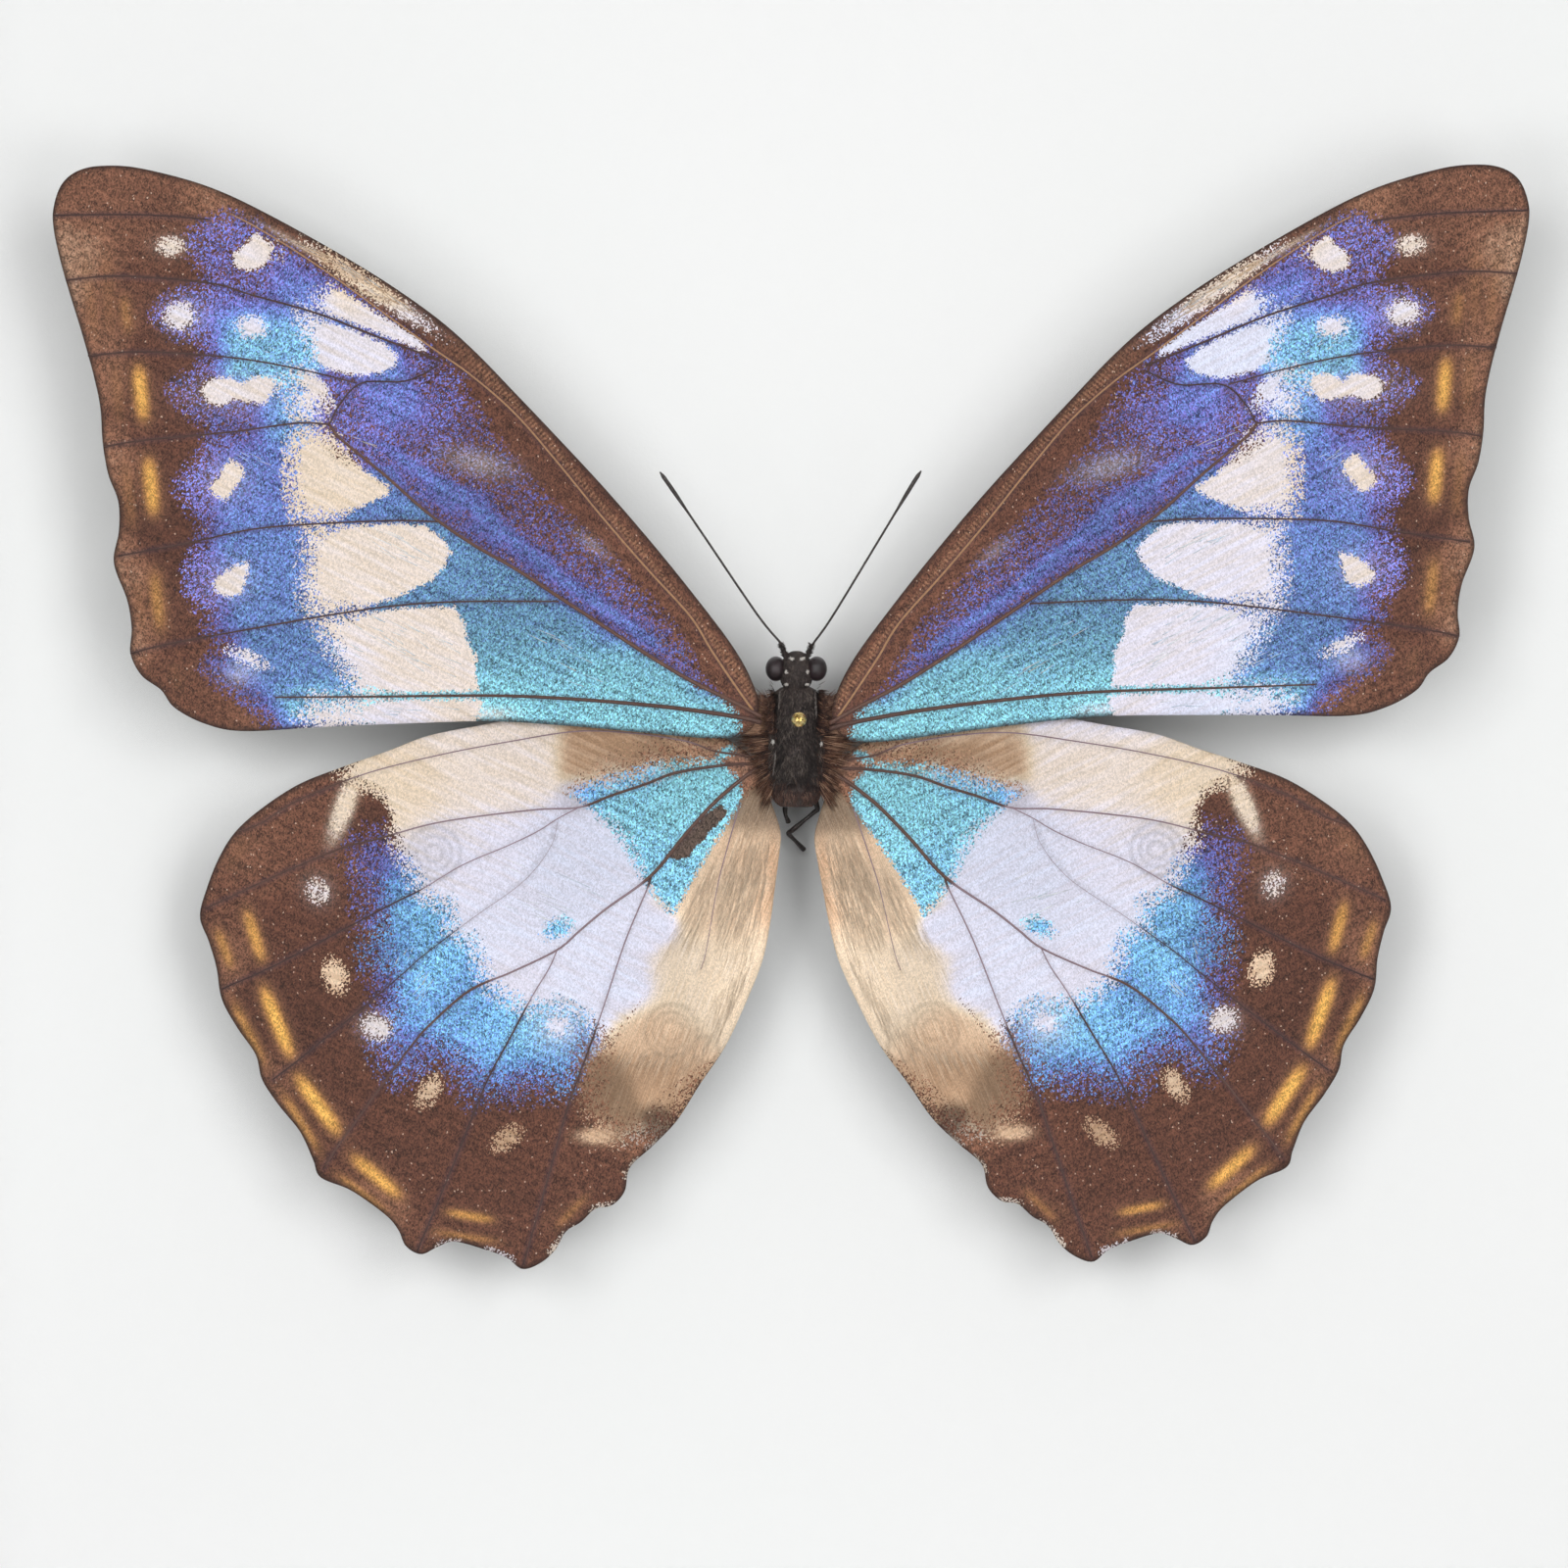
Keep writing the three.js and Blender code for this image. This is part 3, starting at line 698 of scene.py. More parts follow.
FOREWING_PATCHES = {
    "upper": [(44, 38.7), (42.6, 39.8), (38.2, 37), (34.6, 34.8), (34.2, 33.8), (37, 34.9),
        (40.5, 36.2), (43.6, 37.4)],
    "upper_cell": [(45.6, 37.2), (43.5, 36.7), (40.5, 35.6), (38, 34.5), (36.7, 33.3), (37.2, 32.3),
        (38.5, 31.8), (40.5, 31.6), (43, 32.1), (44.2, 32.8), (44.6, 34.6)],
    "half_moon": [(46.2, 31.9), (44.6, 31.9), (43.2, 30.6), (43, 29.2), (44.2, 28.3), (46.2, 27.8),
        (46.4, 29.2), (45.5, 30.3)],
    "dumbbell": [(54.75, 30.3), (53.85, 31.2), (52.05, 31.5), (51, 30.75), (49.95, 31.5), (48.3, 31.5),
        (47.7, 30.75), (48.45, 29.7), (49.05, 28.95), (50.55, 29.25), (51.75, 29.4), (52.95, 28.8),
        (54.15, 29.1)],
    "first_spot": [(51.75, 42.6), (50.55, 43.65), (49.8, 44.55), (48.3, 43.65), (48.3, 42.45),
        (49.05, 41.55), (50.25, 41.1), (51.6, 41.55)],
    "fifth_spot": [(54, 21.3), (52.95, 22.65), (52.05, 23.85), (50.85, 23.1), (51, 22.05), (51.9, 21),
        (52.5, 20.1), (53.4, 20.55)],
    "sixth_spot": [(50.4, 14.55), (51.75, 14.1), (52.95, 13.35), (53.7, 12.45), (53.25, 11.7),
        (52.05, 11.2), (51, 11.85), (50.55, 13.35)],
    "below_stem": [(46.4, 25.5), (45.2, 26.5), (43.8, 26.7), (41.5, 24.5), (39.2, 22.4), (37.4, 21.3),
        (37.8, 20.7), (40, 19.6), (42.6, 18.5), (45.8, 18.4), (46.6, 20.5), (46.8, 23)],
    "cubital": [(44.8, 17.6), (40, 17.9), (36, 18), (34.2, 17.8), (32.8, 16.7), (31.9, 15.5),
        (32.6, 14), (33.8, 12.8), (37.3, 11.1), (39.5, 10.5), (42, 10.1), (44.6, 9.7), (45.2, 12), (45, 15)],
    "lower": [(44, 9.1), (40, 9.8), (36, 10.3), (31.6, 10.4), (30.7, 9), (30.4, 7.2), (29.6, 5.9),
        (29.7, 4.4), (29.3, 2.7), (36, 2.5), (40.6, 2.7), (41.4, 4.5), (42.6, 6.4)],
    "inner_margin": [(29, 1.9), (36, 1.9), (41, 1.9), (44.5, 1.6), (45.5, 0.3), (44, -1), (38, -1),
        (30, -1), (29.2, 0.8)],
}
# each oval: place, half-length, half-width, tilt, and the most that its scales cover
FOREWING_OVALS = [
    (57.4, 43.35, 1.0, 0.75, 0, 0.9), (56.64, 37, 1.3, 1.1, 0, 1), (50.1, 36, 1.25, 0.9, 0, 1),
    (50.5, 5.7, 1.5, 0.5, 25, 0.95), (39.2, 39.6, 5.6, 0.7, 34.5, 0.78)]
# each hazy place: place, half-length, half-width, tilt, strength
FOREWING_HAZE = [
    (29.4, 23.6, 4.2, 1.5, 14, 0.26), (19, 16.1, 2.6, 0.9, 38, 0.15), (51.2, 4.3, 1.9, 1.5, 0, 0.3),
    (57.4, 43.4, 2.0, 1.2, 0, 0.25), (52, 30, 5.2, 2.4, 0, 0.15), (52.6, 21.9, 3.2, 2.8, 0, 0.15),
    (52.4, 12.8, 3.2, 2.8, 0, 0.15), (56.2, 37, 2.6, 2.2, 0, 0.2), (38.6, 39.2, 5.4, 0.8, 32, 0.75),
    (46, 43.6, 5, 0.45, 29, 0.35), (28.5, 0.6, 3.0, 0.8, 0, 0.55), (36.2, 37.5, 2.2, 0.6, 34, 0.85)]
# each ochre bar: its two ends, its half-width and its strength
FOREWING_OCHRE = [
    (61.8, 39.2, 61.3, 35.0, 0.9, 0.5), (60.5, 32.9, 59.9, 27, 0.95, 0.9),
    (59.6, 24.4, 59.0, 18.4, 0.95, 0.9), (59.1, 14.2, 58.4, 7.6, 1.0, 0.62),
    (63.4, 43.4, 62.9, 34.6, 1.0, 0.34), (62.6, 33.2, 62.1, 26.8, 0.85, 0.36),
    (61.7, 24, 61.0, 17, 0.85, 0.42), (60.6, 13.4, 60, 7.6, 0.8, 0.32), (65.4, 43, 64.2, 34, 0.9, 0.36),
    (57.4, 5.4, 56.6, 2.4, 0.7, 0.25)]
CELL_STREAK = [(40.2, 26.6), (30.2, 19.8), (21.2, 12.6), (13, 7)]
print("forewing:", len(FOREWING_PATCHES), "patches,", len(FOREWING_OVALS), "ovals")

# %% [markdown]
# Inside a field the colour isn't even. A few places with a value and a spread say how it changes: the
# tone of the blue from turquoise at 0 to violet at 1, its light, the warmth of the pale scales and the
# lightness of the brown.

# %% Forewing tones
# out, ahead, spread, tone, light
FOREWING_TONES = [
    (8.5, 4.4, 1.4, 0.95, 0.8), (12, 8, 1.6, 0.95, 0.82), (20, 14.2, 1.6, 0.94, 0.86),
    (10, 1.9, 2.4, 0.03, 0.95), (14, 4.3, 2, 0.16, 0.68), (24, 3.3, 3, 0.12, 1.0), (16, 0.2, 4, 0.05, 1.0),
    (28, 0.5, 3, 0.0, 1.2), (23, 8, 3, 0.32, 0.56), (28.5, 7, 2, 0.26, 0.58), (28.5, 12.8, 2.5, 0.36, 0.7),
    (33.4, 18, 1.6, 0.4, 0.7), (38, 20.2, 1.3, 0.5, 0.85), (36, 25.8, 1.2, 0.86, 0.95),
    (35, 22, 0.9, 0.8, 0.92), (31, 18.8, 0.8, 0.9, 0.86), (27, 15.8, 0.7, 0.87, 0.92),
    (21, 12.3, 1.2, 0.85, 0.95), (40, 27.6, 2, 0.8, 1.25), (37, 29.3, 1.6, 0.5, 1.12),
    (33.5, 28.5, 1.8, 0.76, 1.2), (33, 31.3, 1.5, 0.96, 1.03), (30, 26, 1.8, 0.96, 0.82),
    (24, 18.5, 1.8, 0.94, 0.8), (16, 10.5, 2, 0.92, 0.95), (50.5, 40.5, 2, 0.84, 1.25),
    (46.2, 39.3, 1.6, 0.6, 1.1), (51, 34.6, 1.8, 0.25, 1.08), (47.2, 34.3, 1.5, 0.3, 1.2),
    (54.5, 37, 1.6, 0.76, 1.4), (46.8, 27.4, 1.3, 0.42, 1.15), (52, 27.6, 1.6, 0.82, 1.05),
    (49.5, 21, 2.5, 0.6, 1.02), (49, 14.5, 2.5, 0.52, 0.94), (47.5, 10.5, 1.6, 0.5, 0.82),
    (47, 6.2, 1.8, 0.46, 0.76), (49.8, 3, 1.6, 0.54, 0.86), (46.5, 0.5, 1.6, 0.26, 1.06),
    (54.4, 13, 1.2, 0.8, 1.6), (54.9, 21.5, 1.2, 0.82, 1.7), (56, 30, 1.5, 0.98, 1.4)]
# out, ahead, spread, warmth
FOREWING_WARMTH = [
    (39, 36.6, 1.5, 0.36), (38, 39.2, 0.8, 0.8), (41, 41.2, 0.8, 0.8), (41, 34, 2, 0.31),
    (45, 36.5, 1.5, 0.3), (44.6, 29.9, 1, 0.4), (51, 30, 2, 0.42), (50, 42.7, 1.5, 0.42),
    (57.5, 43.3, 1, 0.5), (56.6, 37, 1, 0.33), (50.1, 36, 1, 0.27), (52.3, 22, 1.2, 0.52),
    (42.5, 22, 2.5, 0.6), (39.5, 14, 2.5, 0.5), (35.5, 6.5, 2.5, 0.48), (40.5, 4, 1.5, 0.36),
    (37, 0.8, 1.2, 0.3), (52, 12.9, 1, 0.42), (50.5, 5.7, 1, 0.3), (39.6, 40, 1.4, 0.74),
    (47, 44.8, 1.2, 0.62), (29.4, 23.3, 2, 0.36)]
# out, ahead, spread, lightness of the brown
FOREWING_BROWN = [
    (63, 48, 2.5, 0.5), (66, 42, 2, 0.84), (61, 40, 2, 0.38), (64.6, 33, 1.5, 0.62), (58.4, 33, 1.5, 0.3),
    (58, 25, 2, 0.3), (62.4, 24, 1.2, 0.7), (57.4, 16, 1.5, 0.16), (61.6, 14, 1.2, 0.7), (57, 9, 1.5, 0.34),
    (60.4, 8, 1, 0.72), (55, 1, 2, 0.42), (50, -0.5, 1.5, 0.5), (14, 13.5, 2, 0.4), (22, 22.5, 2, 0.34),
    (27, 27, 1.6, 0.34), (30, 31, 1.6, 0.3), (48, 45.5, 2, 0.4), (54, 47, 1.5, 0.68), (58, 45, 2, 0.45),
    (9, 5.5, 2, 0.4), (55, 42, 2, 0.32)]
print("forewing tones:", len(FOREWING_TONES), "places")

# %% [markdown]
# Soft marks, stripes and ovals are worked out the same way on both kinds of wing.

# %% Soft marks
VIOLET_START, VIOLET_SPAN = 0.72, 0.28
THICKEST, THINNING = 1.05, 1.5


def soft_ovals(p, ovals):
    """The strongest of several soft blots: strength times exp(-2 r^2), with r counted in half-axes."""
    blots = []
    for x, y, length, width, tilt, strength in ovals:
        r = 1 - to_oval(p, x, y, length, width, tilt) / min(length, width)
        blots.append(strength * np.exp(-2 * r**2))
    return np.max(blots, axis=0)


def soft_bars(p, bars):
    """The strongest of several soft bars: strength times exp(-u^4 - v^2), with u counted along the bar in
    half-lengths from its middle and v across it in half-widths."""
    shades = []
    for x0, y0, x1, y1, width, strength in bars:
        half = np.array([x1 - x0, y1 - y0]) / 2
        offset = p - [(x0 + x1) / 2, (y0 + y1) / 2]
        u = offset @ half / (half @ half)
        v = (offset[:, 0] * half[1] - offset[:, 1] * half[0]) / np.hypot(*half) / width
        shades.append(strength * np.exp(-(u**4) - v**2))
    return np.max(shades, axis=0)


def beside(p, line, width):
    """A soft stripe along a line: exp(-(d / width)^2)."""
    return np.exp(-((to_line(p, line) / width) ** 2))


def to_veins(p, veins):
    """Distance to the nearest vein."""
    return np.min([to_line(p, vein[0]) for vein in veins.values()], axis=0)


def with_ovals(p, pale, ovals, border):
    """Pale ovals laid over a field: distance / border, held at the level where they cover their share."""
    for x, y, length, width, tilt, cover in ovals:
        oval = to_oval(p, x, y, length, width, tilt) / border
        pale = np.maximum(pale, np.minimum(oval, 2 * cover - 1))
    return pale


def thinned(blue, tone):
    """Towards violet the blue scales stand further apart: with v going 0 to 1 from VIOLET_START over
    VIOLET_SPAN, the field is held below THICKEST - THINNING v^0.6."""
    v = np.clip((tone - VIOLET_START) / VIOLET_SPAN, 0, 1)
    return np.minimum(blue, THICKEST - THINNING * v**0.6)


print("soft marks ready")

# %% [markdown]
# The forewing's fields bring these together. Scales lie looser towards the margin and along the front of
# the cell, so the ragged borders are wider there. The cell, between the leading vein and the stem, is
# violet with one bluer streak.

# %% Forewing fields
# the front of the blue field, where its scales thin out, and how far that reaches
FRAYED_LINE = [(9, 5), (14, 10.7), (20, 17), (26, 24.8), (30, 31)]
FRAYED_REACH = (4.5, 0.5)
# what the leading vein is closed with, to part the strip ahead of it from the rest
STRIP_CORNERS = [(54, 49), (30, 34.1), (4, 3)]
SILK_WAY = np.array([[0.9, 0.44], [-0.44, 0.9]])
FAR_AWAY = 9.0
# widths of ragged borders, and what is added to them where scales lie looser
BLUE_BORDER, BLUE_LOOSER, BLUE_FRAYED = 0.5, 0.8, 1.3
PALE_BORDER, PALE_LOOSER, OVAL_BORDER = 0.25, 1.15, 0.45
# tones in the cell, along its stem, on its streak and at the outer border, and some widths
CELL_TONE, STEM_TONE, STREAK_TONE, BORDER_TONE = 0.66, 0.84, 0.6, 0.8
STEM_WIDTH, STREAK_WIDTH, BORDER_REACH = 1.1, 0.6, 2.2


def forewing_tone(p, tone, border):
    """The wells' tone, kept violet in the cell and along its stem, bluer on a streak through the cell, and
    drawn towards violet at the outer border."""
    out = p[:, 0]
    in_cell = step(-0.1, 0.3, to_outline(p, FOREWING_CELL))
    tone = tone + np.maximum(CELL_TONE - tone, 0) * in_cell
    near_stem = beside(p, stem_line, STEM_WIDTH) * step(38, 33, out)
    tone = tone + np.maximum(STEM_TONE - tone, 0) * in_cell * near_stem
    streak = beside(p, CELL_STREAK, STREAK_WIDTH) * step(40, 36, out)
    tone = tone + np.minimum(STREAK_TONE - tone, 0) * streak
    return np.maximum(tone, tone + (BORDER_TONE - tone) * border)


def forewing_fields(p, to_rim):
    """Every field of the forewing at the points p. Blue and pale are distances divided by the width of
    their ragged border. Ochre and haze are 0 to 1. Vein and rim are distances in millimetres."""
    out, ahead = p.T
    frayed = step(*FRAYED_REACH, to_line(p, FRAYED_LINE))
    blue = to_outline(p, FOREWING_BLUE)
    border = np.clip(1 - blue / BORDER_REACH, 0, 1) * step(36, 44, out)
    blue = blue / (BLUE_BORDER + BLUE_LOOSER * step(44, 50, out) + BLUE_FRAYED * frayed * step(6, 12, out))
    nearer = 0.22 * np.abs(ahead - 18) - 5.6 * step(28, 31, ahead)
    outer_side = step(40.5, 44.5, out + nearer) * step(48.5, 47, out)
    patches = np.max([to_outline(p, outline) for outline in FOREWING_PATCHES.values()], axis=0)
    pale = patches / (PALE_BORDER + PALE_LOOSER * outer_side)
    wells_tone, light = wells(p, FOREWING_TONES).T
    tone = forewing_tone(p, wells_tone, border)
    in_strip = to_outline(p, leading_line + STRIP_CORNERS) > -0.2
    silk_along, silk_across = SILK_WAY @ p.T
    return {
        "blue": thinned(blue, tone), "tone": tone, "light": light,
        "pale": with_ovals(p, pale, FOREWING_OVALS, OVAL_BORDER),
        "haze": soft_ovals(p, FOREWING_HAZE), "ochre": soft_bars(p, FOREWING_OCHRE),
        "glow": np.ones(len(p)), "warm": wells(p, FOREWING_WARMTH)[:, 0],
        "brown": wells(p, FOREWING_BROWN)[:, 0], "vein": to_veins(p, FOREWING_VEINS),
        "ribs": in_strip * step(36, 27, out) * step(0.1, 0.4, to_line(p, leading_line)),
        "rim": to_rim, "bare": np.full(len(p), -FAR_AWAY),
        "silk_along": silk_along, "silk_across": silk_across}


print("forewing fields:", len(forewing_fields(FOREWING_HUB[None], np.array([FAR_AWAY]))))

# %% [markdown]
# ## The hindwing's plan
# The hindwing is a scalloped fan. Its root is turquoise, its middle lilac white, then come a blue band
# and a broad brown border with pairs of ochre crescents. Its leading part is cream and its inner fold,
# which lies along the body, is tan with long hair.

# %% Hindwing outline and veins
HINDWING_HUB = np.array([26.0, -20.0])
HINDWING_OUTLINE = [
    (3.7, -4.2), (5.5, -2.4), (9, -0.6), (14, 0.6), (20, 0.9), (25, 0.4), (29, -0.4), (34, -1.4),
    (38, -2.9), (42, -4.3), (46, -5.9), (49.5, -8.2), (51.8, -10.3), (53.2, -12.5), (54.3, -15.2),
    (55, -18), (54.2, -20.3), (53.5, -22.7), (53, -25.6), (51.6, -28.2), (49.9, -30.7), (49.3, -33),
    (47.8, -35.3), (45.8, -37.8), (44.6, -40.4), (43.9, -42), (41.1, -43.2), (38, -45.4), (36.8, -46.8),
    (36.1, -48.3), (34.7, -49.05), (33.2, -48.4), (31.6, -47.9), (28.6, -48.7), (26.8, -49.4),
    (25.4, -50.4), (23.8, -49.9), (22.4, -48.7), (21.4, -47), (20, -46.1), (18.7, -44.9), (17.2, -44.6),
    (16, -43.3), (15.5, -41.1), (13.4, -39.1), (11.2, -36.8), (9.1, -33.5), (6.7, -29.9), (4.7, -25.6),
    (3.3, -22), (2.6, -18.5), (2.2, -15.5), (1.85, -12.8), (1.65, -10.5), (2.1, -8.7), (2.9, -6.6)]

HINDWING_VEINS = {
    "subcostal": ([(3.8, -3.4), (6, -3.1), (7.9, -2.8), (9.4, -2.2), (10.9, -1.8), (15, -1.2),
        (20.3, -1), (26.3, -1.9), (33.1, -3.2), (40.1, -5), (46.1, -7.4), (49.3, -9.4), (51.6, -10.3)],
        0.11, 0.08, 0.25),
    "upper_stem": ([(3.8, -4.0), (6.7, -4.1), (11.2, -4.8), (14.2, -5.9), (17.2, -6.9), (20.2, -8),
        (24, -8.2), (30, -8.9), (34.1, -9.6), (38.7, -10.9), (41.9, -11.7), (47.2, -13.9), (54.5, -17.3)],
        0.17, 0.08, 0.2),
    "first_median": ([(20.2, -8), (22.1, -9), (24, -10.2), (26.7, -11.5), (30.9, -13.3), (34.6, -15.5),
        (37.8, -17.1), (47.7, -22.3), (53, -24.7)], 0.1, 0.08, 0.0),
    "second_median": ([(22.1, -9), (22.8, -11.6), (25.3, -14.8), (30, -18.2), (34.6, -21.7),
        (36.4, -23.3), (41, -27.2), (46.2, -31.4), (48.3, -33)], 0.03, 0.08, 0.0),
    "lower_stem": ([(3.6, -4.2), (5.5, -5.6), (7.9, -7.7), (10.6, -10.7), (13.6, -14.3), (17.8, -17.4),
        (20.2, -19.4), (22.2, -21.1), (26.3, -23.1), (30.2, -24.8), (33.6, -27.7), (35.5, -29.8),
        (39, -34.5), (42.3, -39.1), (43.6, -41.1)], 0.22, 0.08, 0.3),
    "first_cubital": ([(22.2, -21.1), (23, -22.9), (24.4, -25.2), (26.7, -29.5), (28.8, -33.5),
        (31.8, -41), (35, -48.7)], 0.11, 0.08, 0.05),
    "second_cubital": ([(13.6, -14.3), (13.9, -15.4), (15.9, -20.2), (17.8, -25.9), (19.2, -30),
        (21.3, -35.8), (23.3, -43), (25.3, -50)], 0.13, 0.08, 0.1),
    "anal": ([(5.4, -7.6), (6.7, -12.2), (7.5, -15.4), (8.5, -21.1), (9, -22.9)], 0.1, 0.05, 0.2),
}
print("hindwing:", len(HINDWING_OUTLINE), "outline points,", len(HINDWING_VEINS), "veins")

# %% [markdown]
# The hindwing's fields are drawn in the same way. A bare patch, where the scales are rubbed off, is only
# on the left wing. Faint rings shine through from the underside.

# %% Hindwing fields of colour
HINDWING_BLUE = [
    (5.6, -5.2), (7.6, -3.6), (12, -3.2), (16, -4.2), (19.5, -5.2), (21.4, -6.2), (24, -8.6), (30, -9.4),
    (36, -10.6), (40, -11.5), (40.2, -13), (39.5, -16), (39, -18.5), (39.1, -21), (38.5, -24), (38, -26),
    (38.5, -28.5), (37.6, -31), (36.8, -32.2), (35, -31.4), (33, -30.8), (31, -32.1), (30, -33.9),
    (25, -33.5), (20.6, -33), (19.6, -31), (18, -29), (15.5, -27.3), (12.2, -24.3), (11.4, -21.4),
    (10, -18), (7.5, -13.5), (4.9, -8)]
HINDWING_PALE = [
    (21, 2.2), (26, 2), (30, 1.4), (34, 0.4), (38, -1.2), (41.2, -2.8), (42, -5), (41, -6), (39.6, -6.6),
    (38.2, -7.2), (37.4, -8.6), (37.3, -10.2), (37, -11.6), (35.6, -14), (34.5, -16.3), (32.2, -17),
    (31.9, -19.5), (30, -20.3), (29.5, -22), (28.5, -24.3), (27, -25.5), (25, -26.5), (22, -26.2),
    (20, -27), (18.2, -28.8), (16.4, -29.6), (15, -27), (13.2, -24.3), (12, -20.6), (11.4, -18.4),
    (13, -16.6), (14.4, -14.4), (15.6, -11.9), (17.4, -9.6), (19.4, -7.9), (21, -6.6), (19.7, -5.9),
    (16, -4.5), (12, -3.2), (8.6, -2.4), (5.4, -1.4), (8, -0.4), (12, 0.6), (16, 1.2)]
HINDWING_FOLD = [
    (4.4, -6.6), (8.5, -13), (11, -17.5), (12.5, -21), (13.4, -24.5), (15, -27), (16.6, -29.4), (18.4, -32),
    (18.8, -35), (16.4, -37.6), (13.4, -36.8), (10.6, -34.6), (7.6, -31.6), (5, -27.4), (2.6, -22),
    (1.5, -17), (0.5, -12), (1, -8.5), (2.8, -6.4)]
HINDWING_BARE = [
    (6.5, -8.4), (7.4, -9.5), (8.2, -10.2), (8.6, -11), (9.5, -11.6), (10, -12.5), (11.2, -12.9),
    (12.2, -12.4), (11.2, -11.4), (10.4, -10.6), (8.7, -8.7), (7.2, -7.7)]
HINDWING_OVALS = [
    (44.2, -15.7, 0.9, 0.75, 60, 0.5), (42.6, -23.5, 1.45, 0.95, 75, 0.97),
    (38.8, -28.2, 1.2, 0.95, 20, 0.95), (34, -34.1, 1.35, 0.75, 120, 0.9),
    (26.8, -38.4, 1.35, 0.75, 140, 0.92), (22.2, -28.1, 1.0, 0.8, 0, 0.95)]
HINDWING_HAZE = [
    (44.2, -15.6, 2.0, 1.7, 60, 0.18), (38.9, -28.2, 2.0, 1.7, 0, 0.25), (22, -28.2, 3.2, 2.8, 0, 0.45),
    (18, -31, 2.6, 2.6, 0, 0.4), (18.4, -38.2, 2.1, 0.85, 0, 1.7), (41.8, -8.0, 3.2, 0.9, -70, 2.4),
    (13.4, -34.5, 2.6, 0.85, 25, 1.4)]
# each streak: its line, its half-width, and the most that its scales cover
HINDWING_STREAKS = [
    ([(33, -48.4), (31.4, -47.9)], 0.2, 1), ([(28.6, -48.75), (26.4, -49.6)], 0.2, 1),
    ([(22.6, -48.8), (20.9, -46.8)], 0.22, 1), ([(18.8, -45), (17.2, -44.6)], 0.2, 1),
    ([(15.75, -41.8), (14.9, -40.6)], 0.2, 1), ([(13.6, -39.3), (12.2, -37.9)], 0.2, 1)]
HINDWING_OCHRE = [
    (50.9, -17, 49.1, -22.6, 0.85, 0.8), (49.4, -24.1, 46.4, -31.4, 0.9, 1.0),
    (46.4, -32.2, 41.9, -38.4, 0.95, 1.0), (41.4, -39.7, 36.2, -44.1, 0.9, 0.9),
    (32.8, -45.1, 27.6, -46, 0.6, 0.76), (53.6, -18.8, 51.9, -23.2, 0.8, 0.66),
    (52.3, -25.3, 48.7, -32.4, 0.8, 0.66), (47.8, -33.7, 43.7, -40.2, 0.75, 0.66),
    (42.8, -41.4, 37.2, -45.8, 0.7, 0.64), (34.2, -46.9, 27, -48, 0.55, 0.56),
    (52.8, -14, 50.2, -10.4, 1.0, 0.25), (22.5, -46.8, 19.2, -43.4, 0.6, 0.5),
    (24, -46.4, 21, -44.3, 0.5, 0.2), (2.3, -9.8, 2.5, -17, 0.5, 0.32)]
HINDWING_RINGS = [
    (33.5, -12.2, 2.4), (33.5, -12.2, 1.6), (33.5, -12.2, 0.8), (22, -28, 2.2), (11.7, -28.5, 2.4),
    (11.7, -28.5, 1.7), (11.7, -28.5, 1.0), (8.6, -30.2, 1.2)]
print("hindwing:", len(HINDWING_OVALS), "ovals,", len(HINDWING_OCHRE), "bars,", len(HINDWING_RINGS), "rings")

# %% [markdown]
# The tones again are places with a value and a spread. On this wing the light of the pale scales changes too:
# partly their own lightness, partly painted light and shade where the fold and the leading part lie at
# another slope.

# %% Hindwing tones
HINDWING_TONES = [
    (12, -6.3, 2.5, 0.07, 0.9), (16, -9.3, 2, 0.14, 1.0), (9, -5, 1.5, 0.0, 0.82),
    (14, -12.3, 1.6, 0.22, 1.1), (8, -9.6, 1.4, 0.12, 1.15), (12, -15.5, 1.6, 0.2, 1.18),
    (12.6, -19, 1.2, 0.25, 1.25), (15, -5.0, 1.3, 0.4, 0.95), (20, -6.6, 1.3, 0.4, 1.1),
    (38.8, -12.6, 1.5, 0.74, 0.9), (36.5, -15, 1.3, 0.42, 0.8), (35, -18.5, 1.6, 0.34, 1.05),
    (37.5, -21, 1.5, 0.46, 0.76), (33.5, -23, 1.5, 0.32, 1.28), (35, -26, 1.6, 0.42, 1.18),
    (31, -25.5, 1.6, 0.42, 1.03), (29, -29, 2, 0.38, 1.3), (25, -29, 2, 0.3, 1.2),
    (22, -31, 1.6, 0.42, 0.98), (36.5, -30.5, 1.5, 0.62, 1.05), (31.5, -32.5, 1.6, 0.64, 0.9),
    (25, -33.5, 1.6, 0.64, 0.9), (40, -17, 1.2, 0.7, 0.85), (39, -25, 1.2, 0.74, 0.85)]
